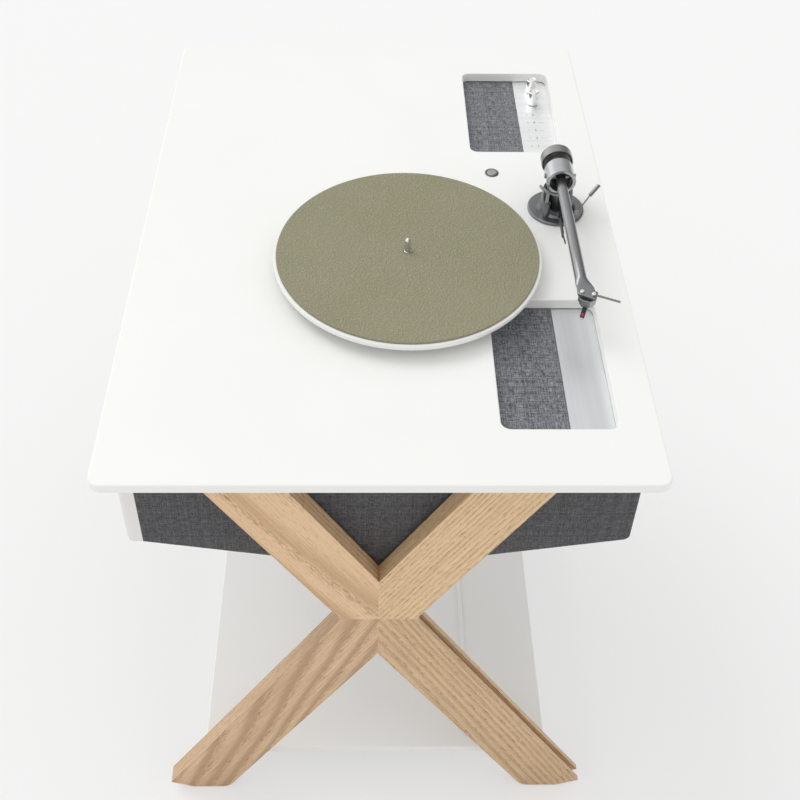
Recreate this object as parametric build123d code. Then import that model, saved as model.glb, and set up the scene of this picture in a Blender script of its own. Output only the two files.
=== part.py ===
from build123d import *
import os
from math import atan2, cos, degrees, radians, sin, sqrt, tan

# A coffee-table record player: slab, X legs, shelf, cloth-covered speaker body, belt-drive deck, tonearm.
# Millimetres. X runs across the table, Y along it, Z up. The origin is on the floor under the middle.

# Table slab
TOP_Z = 711.0
TOP_WIDTH = 560.0
TOP_LENGTH = 810.0
TOP_THICK = 12.5
TOP_CORNER = 14.0
TOP_ROUND = 2.5
UNDER_CHAMFER = 3.0
SLAB_Z = TOP_Z - TOP_THICK

# The two windows in the slab, mirror images about the middle
WINDOW_X = 179.3
WINDOW_Y = 237.5
WINDOW_WIDTH = 118.5
WINDOW_LENGTH = 190.0
WINDOW_CORNER = 10.0
WINDOW_ROUND = 1.4
CLOTH_SPLIT_X = 191.8

# X legs
LEG_FRONT_Y = 363.0
LEG_BACK_Y = 341.0
LEG_CROSS_Z = 417.4
LEG_SLOPE = 1.70
LEG_WIDTH = 74.0
LEG_SIDE_FILLET = 12.0
FOOT_PAD = 1.5
FOOT_INNER_ROUND = 18.0
FOOT_TRIM_X = 250.0
FOOT_TRIM_RISE = 0.46
CABLE_SLOT_WIDTH = 9.0
CABLE_SLOT_DEPTH = 12.0
CABLE_SLOT_START = 30.0
LEG_BOLT_Z = (580.0, 660.0)
LEG_BOLT_RADIUS = 3.0

# Shelf
SHELF_BOTTOM = 55.0
SHELF_TOP = 68.0
SHELF_HALF_WIDTH = 231.0
SHELF_DOWEL_X = (190.0, 222.0)
SHELF_DOWEL_RADIUS = 3.0
RAIL_X = 127.0
RAIL_WIDTH = 4.5
RAIL_HEIGHT = 3.5
RAIL_HALF_LENGTH = 318.0

# Speaker body
BODY_LEFT = -257.0
BODY_RIGHT = 275.0
BODY_HALF_LENGTH = 337.0
BODY_KEEL_Z = 480.0
BODY_SIDE_Z = 533.0
CLOTH = 2.0
WALL = 10.0
LID_Z = SLAB_Z - 10.0
PANEL_SEAT_Z = SLAB_Z - 3.0
COVER_LEFT = -275.0
COVER_ROUND = 8.0
KEEL_TILT = degrees(atan2(BODY_SIDE_Z - BODY_KEEL_Z, BODY_RIGHT))

# Loudspeakers
SPEAKER_X = 154.0
SPEAKER_FLANGE = 35.0
SPEAKER_HOLE = 31.0
SPEAKER_DEPTH = 33.0
SPEAKER_MAGNET = 24.0
WOOFER_X = 120.0
WOOFER_FLANGE = 66.0
WOOFER_HOLE = 57.0
WOOFER_DEPTH = 52.0
WOOFER_MAGNET = 42.0
FLANGE_THICK = 2.5

# Controls
PLATE_THICK = 2.0
KNOB_X = 215.5
VOLUME_Y = 276.0
SOURCE_Y = 307.0
KNOB_RADIUS = 6.7
KNOB_TOP = TOP_Z + 6.5
KNOB_STEM = 3.0
RUNNING = 0.08
LIGHT_X = 204.4
LIGHT_FIRST_Y = 174.7
LIGHT_PITCH = 18.4
LIGHT_RADIUS = 0.9
LIGHT_COUNT = 5
BUTTON_X = 143.6
BUTTON_Y = 95.6
BUTTON_RADIUS = 6.2
BUTTON_TOP = TOP_Z + 1.6
BUTTON_TRAVEL = 2.0

# Deck
DECK_X = 32.0
DECK_Y = -84.0
PLATTER_RADIUS = 152.5
PLATTER_Z = TOP_Z + 12.5
PLATTER_THICK = 7.0
MAT_RADIUS = 149.5
MAT_THICK = 2.5
SPINDLE_RADIUS = 3.6
SPINDLE_RISE = 17.5
HUB_RADIUS = 4.2
SHAFT_RADIUS = 5.0
SUB_PLATTER_RADIUS = 60.0
PULLEY_RADIUS = 7.5
MOTOR_X = -44.0
MOTOR_Y = -40.0
BELT_THICK = 0.8
BELT_WIDTH = 4.0
BELT_GAP = 0.3
BELT_Z = TOP_Z + 6.2

# Tonearm, drawn parked: it points along -Y from its pivot
ARM_X = 215.5
ARM_Y = 22.0
ARM_Z = TOP_Z + 50.0
ARM_BASE_RADIUS = 34.0
ARM_BASE_THICK = 4.0
GIMBAL_RADIUS = 17.0
GIMBAL_BORE = 13.4
GIMBAL_HALF = 13.5
GIMBAL_BOTTOM = ARM_Z - GIMBAL_RADIUS
ARM_RADIUS = 6.3
HEAD_OFFSET_DEG = 22.0
BOLT_SPACING = 12.7
BOLT_REACH = 211.0
BOLT_SIDE = 4.0
HEAD_TOP = ARM_Z + 2.0
HEAD_THICK = 3.5
WEIGHT_RADIUS = 19.0
WEIGHT_FRONT = 25.0
WEIGHT_THICK = 14.0
STUB_RADIUS = 4.0
LIFT_RADIUS = 24.0
LIFT_POST_DEG = 232.0
LEVER_X = 18.0
LEVER_Y = -26.0
LEVER_Z = TOP_Z + 15.0
REST_REACH = 62.0

BASE_UP = (Align.CENTER, Align.CENTER, Align.MIN)


def block(x0, x1, y0, y1, z0, z1):
    """Box between two opposite corners."""
    size = Box(abs(x1 - x0), abs(y1 - y0), abs(z1 - z0))
    return Pos((x0 + x1) / 2, (y0 + y1) / 2, (z0 + z1) / 2) * size


def disc(x, y, z0, z1, radius):
    """Upright cylinder between two heights."""
    return Pos(x, y, z0) * Cylinder(radius, z1 - z0, align=BASE_UP)


def rod(start, end, radius):
    """Round bar between two points."""
    line = Vector(*end) - Vector(*start)
    plane = Plane(origin=start, z_dir=line)
    return plane.location * Cylinder(radius, line.length, align=BASE_UP)


def plate(outline, z0, z1):
    """Flat outline in X and Y, raised from z0 to z1."""
    return Pos(0, 0, z0) * extrude(outline, z1 - z0)


def prism(outline, y0, y1):
    """Outline drawn in X and Z, carried along Y from y0 to y1."""
    plane = Plane(origin=(0, y1, 0), x_dir=(1, 0, 0), z_dir=(0, -1, 0))
    return extrude(plane * outline, y1 - y0)


def turned(points, x=0.0, y=0.0):
    """Lathe a closed radius-height profile about the vertical line through x, y."""
    profile = make_face(Polyline(*[(r, z) for r, z in points], close=True))
    return Pos(x, y, 0) * revolve(Plane.XZ * profile, Axis.Z, 360)


def group(pieces):
    """Several separate solids in one node."""
    return Compound(children=list(pieces))


# Table slab with its windows and the holes for the deck, arm and button

def window_outline(side, grow=0.0):
    outline = RectangleRounded(WINDOW_WIDTH + 2 * grow, WINDOW_LENGTH + 2 * grow, WINDOW_CORNER + grow)
    return Pos(WINDOW_X, side * WINDOW_Y) * outline


def table_top():
    slab = plate(RectangleRounded(TOP_WIDTH, TOP_LENGTH, TOP_CORNER), SLAB_Z, TOP_Z)
    slab = fillet(slab.faces().sort_by(Axis.Z)[-1].edges(), TOP_ROUND)
    slab = chamfer(slab.faces().sort_by(Axis.Z)[0].edges(), UNDER_CHAMFER)
    for side in (-1, 1):
        cutter = plate(window_outline(side), SLAB_Z - 1, TOP_Z + 1)
        slab -= cutter
    rims = [e for e in slab.faces().sort_by(Axis.Z)[-1].edges() if abs(e.center().X) > 100]
    rims = [e for e in rims if abs(e.center().X - WINDOW_X) < 62 and abs(abs(e.center().Y) - WINDOW_Y) < 98]
    slab = fillet(rims, WINDOW_ROUND)
    slab -= disc(DECK_X, DECK_Y, SLAB_Z - 1, TOP_Z + 1, 11.0)
    slab -= disc(MOTOR_X, MOTOR_Y, SLAB_Z - 1, TOP_Z + 1, 9.0)
    slab -= disc(ARM_X, ARM_Y, SLAB_Z - 1, TOP_Z + 1, 9.0)
    slab -= disc(BUTTON_X, BUTTON_Y, SLAB_Z - 1, TOP_Z + 1, 7.6)
    return slab


# X legs: four mitred arms in each frame, with loose tenons over the seams

def leg_outline():
    """Both crossed bars and the shaped feet, seen along Y, with the mitre corners rounded."""
    reach = 900.0
    angle = degrees(atan2(LEG_SLOPE, 1.0))
    cross = Rectangle(reach * 2, LEG_WIDTH)
    bars = Pos(0, LEG_CROSS_Z) * (Rot(0, 0, angle) * cross + Rot(0, 0, -angle) * cross)
    side_corners = bars.vertices().filter_by(lambda v: abs(v.Y - LEG_CROSS_Z) < 0.5)
    bars = fillet(side_corners, LEG_SIDE_FILLET)
    span = SLAB_Z - FOOT_PAD
    bars &= Pos(0, FOOT_PAD + span / 2) * Rectangle(900, span)
    inner_x = foot_inner_x()
    inner = bars.vertices().filter_by(lambda v: v.Y < FOOT_PAD + 1 and abs(abs(v.X) - inner_x) < 2)
    bars = fillet(inner, FOOT_INNER_ROUND)
    for side in (-1, 1):
        far = FOOT_TRIM_X + 90
        toe = [(side * FOOT_TRIM_X, FOOT_PAD), (side * far, FOOT_PAD + 90 * FOOT_TRIM_RISE),
               (side * far, FOOT_PAD - 40), (side * FOOT_TRIM_X, FOOT_PAD - 40)]
        bars -= make_face(Polyline(*toe, close=True))
    return bars


def foot_inner_x():
    """Where the lower edge of a lower arm meets the foot's flat."""
    half_across = LEG_WIDTH / 2 * sqrt(1 + 1 / LEG_SLOPE ** 2)
    return (LEG_CROSS_Z - FOOT_PAD) / LEG_SLOPE - half_across


def tenon_places():
    """Centre and half size in X and Z of the four loose tenons of one frame."""
    return [(0, LEG_CROSS_Z + 42, 14, 11), (0, LEG_CROSS_Z - 42, 14, 11),
            (25, LEG_CROSS_Z, 7, 15), (-25, LEG_CROSS_Z, 7, 15)]


def tenon(place, end):
    x, z, half_x, half_z = place
    middle = end * (LEG_FRONT_Y + LEG_BACK_Y) / 2
    return block(x - half_x, x + half_x, middle - 4, middle + 4, z - half_z, z + half_z)


def bolt_spots(end):
    """Bolt centres in X and Z on the two upper arms of one frame."""
    return [(side * (z - LEG_CROSS_Z) / LEG_SLOPE, z) for side in (-1, 1) for z in LEG_BOLT_Z]


def cable_slot(end):
    """Groove down the upper edge of the right lower arm, round at its start, open at the foot."""
    unit = 1 / sqrt(1 + LEG_SLOPE ** 2)
    along = Vector(unit, 0, -LEG_SLOPE * unit)
    out = Vector(LEG_SLOPE * unit, 0, unit)
    middle = end * (LEG_FRONT_Y + LEG_BACK_Y) / 2
    edge = Vector(0, middle, LEG_CROSS_Z) + out * (LEG_WIDTH / 2)
    length = 600.0
    radius = CABLE_SLOT_WIDTH / 2
    start = edge + along * (CABLE_SLOT_START + radius)
    flat = Plane(origin=start, x_dir=along, z_dir=out)
    outline = Pos(length / 2, 0) * Rectangle(length, CABLE_SLOT_WIDTH) + Circle(radius)
    return extrude(flat * outline, CABLE_SLOT_DEPTH, both=True)


def leg_arms():
    """The eight arms, by name."""
    arms = {}
    outline = leg_outline()
    for end, end_name in ((-1, "front"), (1, "rear")):
        near, far = sorted((end * LEG_FRONT_Y, end * LEG_BACK_Y))
        frame = prism(outline, near, far)
        for place in tenon_places():
            frame -= tenon(place, end)
        for x, z in bolt_spots(end):
            frame -= rod((x, end * LEG_BACK_Y, z), (x, end * (LEG_BACK_Y + 15), z), LEG_BOLT_RADIUS)
        for x in SHELF_DOWEL_X:
            for side in (-1, 1):
                middle = (SHELF_BOTTOM + SHELF_TOP) / 2
                frame -= rod((side * x, end * LEG_BACK_Y, middle),
                             (side * x, end * (LEG_BACK_Y + 14), middle), SHELF_DOWEL_RADIUS)
        frame -= cable_slot(end)
        for side, side_name in ((-1, "left"), (1, "right")):
            for up, up_name in ((1, "upper"), (-1, "lower")):
                quadrant = block(0, side * 400, near, far, LEG_CROSS_Z, LEG_CROSS_Z + up * 500)
                arms[f"{end_name}_{side_name}_{up_name}_leg"] = frame & quadrant
    return arms


def leg_tenons():
    return group(tenon(place, end) for end in (-1, 1) for place in tenon_places())


def foot_pads():
    """Felt pads under the four feet."""
    pads = []
    middle = (LEG_FRONT_Y + LEG_BACK_Y) / 2
    centre = (foot_inner_x() + 8 + FOOT_TRIM_X) / 2
    for side in (-1, 1):
        for end in (-1, 1):
            outline = Pos(side * centre, end * middle) * RectangleRounded(26, 17, 4)
            pads.append(plate(outline, 0, FOOT_PAD))
    return group(pads)


def leg_spacers():
    """Discs that keep the legs off the cloth of the body."""
    discs = []
    for end in (-1, 1):
        for x, z in bolt_spots(end):
            start = (x, end * BODY_HALF_LENGTH, z)
            stop = (x, end * LEG_BACK_Y, z)
            discs.append(rod(start, stop, 11) - rod(start, stop, LEG_BOLT_RADIUS))
    return group(discs)


def leg_bolts():
    """Bolts from inside the body through wall, cloth and spacer into the legs."""
    bolts = []
    inner = BODY_HALF_LENGTH - CLOTH - WALL
    for end in (-1, 1):
        for x, z in bolt_spots(end):
            shank = rod((x, end * inner, z), (x, end * (LEG_BACK_Y + 14), z), LEG_BOLT_RADIUS)
            bolts.append(shank + rod((x, end * (inner - 4), z), (x, end * inner, z), 6))
    return group(bolts)


# Shelf

def shelf():
    board = block(-SHELF_HALF_WIDTH, SHELF_HALF_WIDTH, -LEG_BACK_Y, LEG_BACK_Y, SHELF_BOTTOM, SHELF_TOP)
    board = fillet(board.edges().filter_by(Axis.Z), 6)
    board = fillet(board.edges().filter_by(Axis.Y), 1.5)
    middle = (SHELF_BOTTOM + SHELF_TOP) / 2
    for x in SHELF_DOWEL_X:
        for side in (-1, 1):
            for end in (-1, 1):
                board -= rod((side * x, end * (LEG_BACK_Y - 16), middle),
                             (side * x, end * LEG_BACK_Y, middle), SHELF_DOWEL_RADIUS)
    return board


def shelf_rail():
    """Low rail that divides the shelf and stops records from sliding."""
    rail = block(RAIL_X - RAIL_WIDTH / 2, RAIL_X + RAIL_WIDTH / 2, -RAIL_HALF_LENGTH, RAIL_HALF_LENGTH,
                 SHELF_TOP, SHELF_TOP + RAIL_HEIGHT)
    return fillet(rail.faces().sort_by(Axis.Z)[-1].edges().filter_by(Axis.Y), 1.2)


def shelf_dowels():
    middle = (SHELF_BOTTOM + SHELF_TOP) / 2
    return group(rod((side * x, end * (LEG_BACK_Y - 16), middle), (side * x, end * (LEG_BACK_Y + 14), middle),
                     SHELF_DOWEL_RADIUS)
                 for x in SHELF_DOWEL_X for side in (-1, 1) for end in (-1, 1))


# Speaker body: shell, lid, cloth skins and the white side cover

def body_section(inset, left, top):
    """Section of the body across the table: upright sides and a shallow keel."""
    slope = tan(radians(KEEL_TILT))
    rise = inset / cos(radians(KEEL_TILT))
    right = BODY_RIGHT - inset
    points = [(left, top), (left, BODY_KEEL_Z - left * slope + rise), (0, BODY_KEEL_Z + rise),
              (right, BODY_KEEL_Z + right * slope + rise), (right, top)]
    return make_face(Polyline(*points, close=True))


def rounded_section(inset, left, top, radius):
    section = body_section(inset, left, top)
    corner = section.vertices().filter_by(lambda v: v.X > 200 and v.Y < 600)
    return fillet(corner, radius)


def keel_plane(x, inset):
    """Plane on the right keel board at x, its Z pointing into the body."""
    slope = tan(radians(KEEL_TILT))
    height = BODY_KEEL_Z + abs(x) * slope + inset / cos(radians(KEEL_TILT))
    tilt = radians(KEEL_TILT)
    return Plane(origin=(x, 0, height), x_dir=(cos(tilt), 0, sin(tilt)), z_dir=(-sin(tilt), 0, cos(tilt)))


def cabinet_shell():
    end = BODY_HALF_LENGTH - CLOTH
    shell = prism(rounded_section(CLOTH, BODY_LEFT, LID_Z, 6), -end, end)
    shell -= prism(body_section(CLOTH + WALL, BODY_LEFT + WALL, LID_Z + 1), -end + WALL, end - WALL)
    shell -= keel_plane(WOOFER_X, CLOTH + WALL).location * Cylinder(WOOFER_HOLE, 3 * WALL)
    for side in (-1, 1):
        for x, z in bolt_spots(side):
            shell -= rod((x, side * (end - WALL), z), (x, side * end, z), LEG_BOLT_RADIUS)
    shell -= inlet_cutters()
    return shell


def cabinet_lid():
    """Board that closes the body; the window panels lie in its two open-ended pockets."""
    end = BODY_HALF_LENGTH - CLOTH
    lid = block(BODY_LEFT, BODY_RIGHT - CLOTH, -end, end, LID_Z, SLAB_Z)
    for side in (-1, 1):
        lid -= block(115, 244, side * 138, side * end, PANEL_SEAT_Z, SLAB_Z)
        lid -= disc(SPEAKER_X, side * WINDOW_Y, LID_Z, SLAB_Z, SPEAKER_HOLE)
        lid -= disc(SPEAKER_X, side * WINDOW_Y, PANEL_SEAT_Z - FLANGE_THICK, SLAB_Z, SPEAKER_FLANGE)
    for y in (VOLUME_Y, SOURCE_Y):
        lid -= disc(KNOB_X, y, LID_Z, SLAB_Z, 9.5)
    for row in range(LIGHT_COUNT):
        lid -= disc(LIGHT_X, LIGHT_FIRST_Y + row * LIGHT_PITCH, LID_Z, SLAB_Z, LIGHT_RADIUS + 1)
    lid -= disc(DECK_X, DECK_Y, LID_Z, SLAB_Z, 28)
    lid -= disc(MOTOR_X, MOTOR_Y, LID_Z, SLAB_Z, 30)
    lid -= disc(ARM_X, ARM_Y, LID_Z, SLAB_Z, 16)
    lid -= disc(BUTTON_X, BUTTON_Y, LID_Z, SLAB_Z, 14)
    return lid


def end_cloth_panel(side):
    """Cloth skin over one end of the body."""
    y0, y1 = sorted((side * (BODY_HALF_LENGTH - CLOTH), side * BODY_HALF_LENGTH))
    panel = prism(rounded_section(0, BODY_LEFT, SLAB_Z, 8), y0, y1)
    for x, z in bolt_spots(side):
        panel -= rod((x, y0, z), (x, y1, z), LEG_BOLT_RADIUS)
    if side > 0:
        panel -= inlet_cutters()
    return panel


def side_cloth_wrap():
    """Cloth skin over the right side and the keel, in one piece."""
    end = BODY_HALF_LENGTH - CLOTH
    wrap = prism(rounded_section(0, BODY_LEFT, SLAB_Z, 8), -end, end)
    return wrap - prism(rounded_section(CLOTH, BODY_LEFT - 1, SLAB_Z + 1, 6), -end, end)


def side_cover():
    """White cover along the left side, its outer and lower edges rounded."""
    bottom = BODY_SIDE_Z - 2
    cover = block(COVER_LEFT, BODY_LEFT, -BODY_HALF_LENGTH, BODY_HALF_LENGTH, bottom, SLAB_Z)
    edges = [e for e in cover.edges() if abs(e.center().X - COVER_LEFT) < 0.1 and e.center().Z < SLAB_Z - 1]
    return fillet(edges, COVER_ROUND)


# Window panels

def window_cloth(side):
    """Cloth-covered frame over one loudspeaker, open below where the cone moves."""
    frame = block(115.4, CLOTH_SPLIT_X, side * 138.4, side * 334.6, PANEL_SEAT_Z, PANEL_SEAT_Z + 2)
    open_below = Pos(SPEAKER_X - 0.4, side * WINDOW_Y) * RectangleRounded(70, 170, 8)
    return frame - plate(open_below, PANEL_SEAT_Z, PANEL_SEAT_Z + 1.3)


def window_plate(side):
    sheet = block(CLOTH_SPLIT_X + 0.3, 243.6, side * 138.4, side * 334.6, PANEL_SEAT_Z, PANEL_SEAT_Z + PLATE_THICK)
    return chamfer(sheet.faces().sort_by(Axis.Z)[-1].edges(), 0.3)


def control_plate():
    sheet = window_plate(1)
    for y in (VOLUME_Y, SOURCE_Y):
        sheet -= disc(KNOB_X, y, PANEL_SEAT_Z, SLAB_Z, KNOB_STEM + RUNNING)
    for row in range(LIGHT_COUNT):
        sheet -= disc(LIGHT_X, LIGHT_FIRST_Y + row * LIGHT_PITCH, PANEL_SEAT_Z, SLAB_Z, LIGHT_RADIUS)
    return sheet


def indicator_lights():
    """Five light guides, flush with the plate, with a shoulder under it."""
    guides = []
    for row in range(LIGHT_COUNT):
        y = LIGHT_FIRST_Y + row * LIGHT_PITCH
        guide = disc(LIGHT_X, y, LID_Z + 2, PANEL_SEAT_Z + PLATE_THICK + 0.2, LIGHT_RADIUS - 0.02)
        guides.append(guide + disc(LIGHT_X, y, LID_Z + 2, PANEL_SEAT_Z, LIGHT_RADIUS + 0.9))
    return group(guides)


# Loudspeakers, drawn with the front at height 0 and the body below it

def basket(flange, hole, depth, magnet):
    """Open basket: flange, ledge for the cone's rim, and a bowl with four windows."""
    waist = depth * 0.45
    floor = magnet * 0.8
    body = turned([(hole - 1.5, 0), (flange - 0.3, 0), (flange - 0.3, -FLANGE_THICK), (hole - 0.4, -FLANGE_THICK),
                   (hole - 5, -waist), (floor, -depth), (magnet * 0.35, -depth), (magnet * 0.35, 2 - depth),
                   (floor - 2, 2 - depth), (hole - 7.5, 1 - waist), (hole - 4.2, -FLANGE_THICK),
                   (hole - 4.2, -1.2), (hole - 1.5, -1.2)])
    for quarter in range(4):
        gap = block(0, flange * 2, -hole * 0.32, hole * 0.32, 5 - depth, -6)
        body -= Rot(0, 0, 45 + 90 * quarter) * gap
    return body


def cone(hole, depth, magnet):
    """Paper cone with its half-roll edge, dust cap and voice coil, in one thin shell."""
    rim = hole - 1.6
    coil = magnet * 0.33
    cap = 14 - depth
    front = [(rim, -1.2), (rim, -0.3), (rim - 3, 0.2), (rim - 6, -1.6), (coil + 3, cap - 4), (coil * 0.6, cap - 1), (0, cap)]
    back = [(0, cap - 1), (coil * 0.6, cap - 2), (coil, cap - 4.6), (coil, 3 - depth), (coil + 1, 3 - depth),
            (coil + 1, cap - 6.5), (coil + 3, cap - 5.8), (rim - 6.6, -3.4), (rim - 3, -1.2)]
    return turned(front + back)


def magnet_ring(radius, depth, thick):
    """Magnet between two steel plates, against the basket's back."""
    back = -depth - thick
    return turned([(0, back), (radius - 2, back), (radius - 2, back + 2.5), (radius, back + 2.5),
                   (radius, -depth - 2), (radius - 2, -depth - 2), (radius - 2, -depth), (0, -depth)])


def at_windows(piece):
    """Two copies of a driver part, hung from the lid under the windows."""
    return [Pos(SPEAKER_X, side * WINDOW_Y, PANEL_SEAT_Z) * piece for side in (-1, 1)]


def on_keel(piece):
    """A driver part laid on the right keel board, its front down."""
    return keel_plane(WOOFER_X, CLOTH + WALL).location * (Rot(180, 0, 0) * piece)


def loudspeakers():
    small = (SPEAKER_FLANGE, SPEAKER_HOLE, SPEAKER_DEPTH, SPEAKER_MAGNET)
    large = (WOOFER_FLANGE, WOOFER_HOLE, WOOFER_DEPTH, WOOFER_MAGNET)
    magnets = at_windows(magnet_ring(SPEAKER_MAGNET, SPEAKER_DEPTH, 14.0))
    magnets.append(on_keel(magnet_ring(WOOFER_MAGNET, WOOFER_DEPTH, 18.0)))
    return {
        "speaker_baskets": group(at_windows(basket(*small))),
        "speaker_cones": group(at_windows(cone(*small[1:]))),
        "woofer_basket": on_keel(basket(*large)),
        "woofer_cone": on_keel(cone(*large[1:])),
        "speaker_magnets": group(magnets),
    }


# Electronics and the sockets in the rear wall

INLET_X = -205.0
SOCKET_Z = 600.0
LINE_X = 0.0
LINE_PITCH = 18.0
LINE_RADIUS = 4.2
BOARD_Y = 290.0
REAR_INNER_Y = BODY_HALF_LENGTH - CLOTH - WALL


def line_centres():
    return [(LINE_X + column * LINE_PITCH, SOCKET_Z + row * LINE_PITCH) for column in (-0.5, 0.5) for row in (-0.5, 0.5)]


def inlet_cutters():
    """The holes for the inlet and the line sockets through rear wall and cloth."""
    outside = BODY_HALF_LENGTH + 1
    cutters = block(INLET_X - 14, INLET_X + 14, REAR_INNER_Y - 1, outside, SOCKET_Z - 9, SOCKET_Z + 9)
    for x, z in line_centres():
        cutters += rod((x, REAR_INNER_Y - 1, z), (x, outside, z), LINE_RADIUS + 0.8)
    return cutters


def power_inlet():
    """Two-pin mains inlet with a flange outside the cloth."""
    face = BODY_HALF_LENGTH
    flange = block(INLET_X - 18, INLET_X + 18, face, face + 2, SOCKET_Z - 12.5, SOCKET_Z + 12.5)
    body = fillet(flange.edges().filter_by(Axis.Y), 3)
    body += block(INLET_X - 13.9, INLET_X + 13.9, face - 26, face, SOCKET_Z - 8.9, SOCKET_Z + 8.9)
    mouth = Pos(INLET_X, SOCKET_Z) * RectangleRounded(21, 9.4, 4.5)
    body -= prism(mouth, face - 14, face + 3)
    for side in (-1, 1):
        x = INLET_X + side * 4.3
        body += rod((x, face - 16, SOCKET_Z), (x, face - 3, SOCKET_Z), 1.2)
    return body


def line_sockets():
    """Four phono sockets on one block behind the wall."""
    body = block(LINE_X - 20, LINE_X + 20, REAR_INNER_Y - 14, REAR_INNER_Y, SOCKET_Z - 20, SOCKET_Z + 20)
    for x, z in line_centres():
        body += rod((x, REAR_INNER_Y, z), (x, BODY_HALF_LENGTH + 8, z), LINE_RADIUS)
        body -= rod((x, BODY_HALF_LENGTH - 2, z), (x, BODY_HALF_LENGTH + 8, z), 1.6)
    return body


def amplifier_board():
    """Circuit board on four standoffs from the rear wall, with a finned heat sink and capacitors."""
    left, right, low, high = -66.0, 66.0, 556.0, 652.0
    board = block(left, right, BOARD_Y, BOARD_Y + 1.6, low, high)
    for x in (left + 5, right - 5):
        for z in (low + 5, high - 5):
            board += rod((x, BOARD_Y + 1.6, z), (x, REAR_INNER_Y, z), 3)
    board += block(left + 10, right - 50, BOARD_Y - 4, BOARD_Y, high - 42, high - 8)
    for fin in range(9):
        x = left + 10 + fin * 8.6
        board += block(x, x + 2.6, BOARD_Y - 22, BOARD_Y - 4, high - 42, high - 8)
    for x in (right - 34, right - 12):
        board += rod((x, BOARD_Y, high - 20), (x, BOARD_Y - 28, high - 20), 9)
    board += rod((right - 60, BOARD_Y, low + 22), (right - 60, BOARD_Y - 16, low + 22), 13)
    board += block(right - 36, right - 12, BOARD_Y - 3, BOARD_Y, low + 12, low + 36)
    return board


# Controls

def control_pots():
    """The two rotary controls that hang under the control plate."""
    pots = []
    for y in (VOLUME_Y, SOURCE_Y):
        body = disc(KNOB_X, y, PANEL_SEAT_Z - 15, PANEL_SEAT_Z, 9)
        pots.append(body - disc(KNOB_X, y, PANEL_SEAT_Z - 13, PANEL_SEAT_Z, KNOB_STEM + RUNNING))
    return group(pots)


def knob(y):
    """Turned metal knob with a dished top, a pointer groove and its own stem."""
    low = PANEL_SEAT_Z + PLATE_THICK + 0.8
    edge = 0.7
    body = turned([(0, PANEL_SEAT_Z - 12), (KNOB_STEM, PANEL_SEAT_Z - 12), (KNOB_STEM, low),
                   (KNOB_RADIUS - 0.4, low), (KNOB_RADIUS, low + 0.4), (KNOB_RADIUS, KNOB_TOP - edge),
                   (KNOB_RADIUS - edge, KNOB_TOP), (KNOB_RADIUS - 1.6, KNOB_TOP), (KNOB_RADIUS - 2.2, KNOB_TOP - 0.3),
                   (0, KNOB_TOP - 0.3)], KNOB_X, y)
    return body - block(KNOB_X - KNOB_RADIUS - 1, KNOB_X - 3.4, y - 0.4, y + 0.4, KNOB_TOP - 4, KNOB_TOP + 1)


def start_button():
    return turned([(0, TOP_Z - 21), (2.5, TOP_Z - 21), (2.5, TOP_Z - 7), (BUTTON_RADIUS, TOP_Z - 7),
                   (BUTTON_RADIUS, BUTTON_TOP - 0.6), (BUTTON_RADIUS - 0.6, BUTTON_TOP), (0, BUTTON_TOP)],
                  BUTTON_X, BUTTON_Y)


def button_bezel():
    """Steel ring with the switch housing below it, closed at the bottom."""
    bore = BUTTON_RADIUS + RUNNING
    return turned([(0, TOP_Z - 27), (7.6, TOP_Z - 27), (7.6, TOP_Z), (8.7, TOP_Z), (8.7, TOP_Z + 0.5),
                   (8.0, TOP_Z + 1.2), (bore + 0.3, TOP_Z + 1.2), (bore, TOP_Z + 0.9), (bore, TOP_Z - 12),
                   (2.8, TOP_Z - 12), (2.8, TOP_Z - 25), (0, TOP_Z - 25)], BUTTON_X, BUTTON_Y)


# Deck: bearing, spindle, sub-platter, platter, mat, motor, pulley and belt

MAT_TOP = PLATTER_Z + PLATTER_THICK + MAT_THICK
COLLAR_Z = TOP_Z + 2.8


def bearing_housing():
    """Flanged well for the spindle, with a thrust pad at its foot."""
    bore = SHAFT_RADIUS + 0.05
    return turned([(0, TOP_Z - 58), (9, TOP_Z - 58), (11, TOP_Z - 56), (11, TOP_Z), (22, TOP_Z), (22, TOP_Z + 1.5),
                   (21, TOP_Z + 2.5), (bore, TOP_Z + 2.5), (bore, TOP_Z - 49), (0, TOP_Z - 49)], DECK_X, DECK_Y)


def spindle():
    """Bearing shaft with a collar for the sub-platter and a bullet-nosed centre pin."""
    top = MAT_TOP + SPINDLE_RISE
    profile = [(0, TOP_Z - 48.9), (SHAFT_RADIUS, TOP_Z - 48.9), (SHAFT_RADIUS, COLLAR_Z), (8, COLLAR_Z),
               (8, COLLAR_Z + 0.8), (SHAFT_RADIUS, COLLAR_Z + 0.8), (SHAFT_RADIUS, PLATTER_Z),
               (HUB_RADIUS, PLATTER_Z), (HUB_RADIUS, MAT_TOP), (SPINDLE_RADIUS, MAT_TOP), (SPINDLE_RADIUS, top - 4.5)]
    for step in (30, 60):
        profile.append((SPINDLE_RADIUS * cos(radians(step)), top - 4.5 + 4.5 * sin(radians(step))))
    profile.append((0, top))
    return turned(profile, DECK_X, DECK_Y)


def sub_platter():
    """Belt wheel: rim, web and hub, with six lightening holes."""
    hub = COLLAR_Z + 0.8
    wheel = turned([(SHAFT_RADIUS, hub), (14, hub), (14, TOP_Z + 8), (54, TOP_Z + 8), (54, hub - 0.2),
                    (SUB_PLATTER_RADIUS, hub - 0.2), (SUB_PLATTER_RADIUS, TOP_Z + 9.5), (58, PLATTER_Z),
                    (SHAFT_RADIUS, PLATTER_Z)], DECK_X, DECK_Y)
    for sixth in range(6):
        angle = radians(60 * sixth)
        wheel -= disc(DECK_X + 34 * cos(angle), DECK_Y + 34 * sin(angle), TOP_Z, PLATTER_Z, 9)
    return wheel


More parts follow.
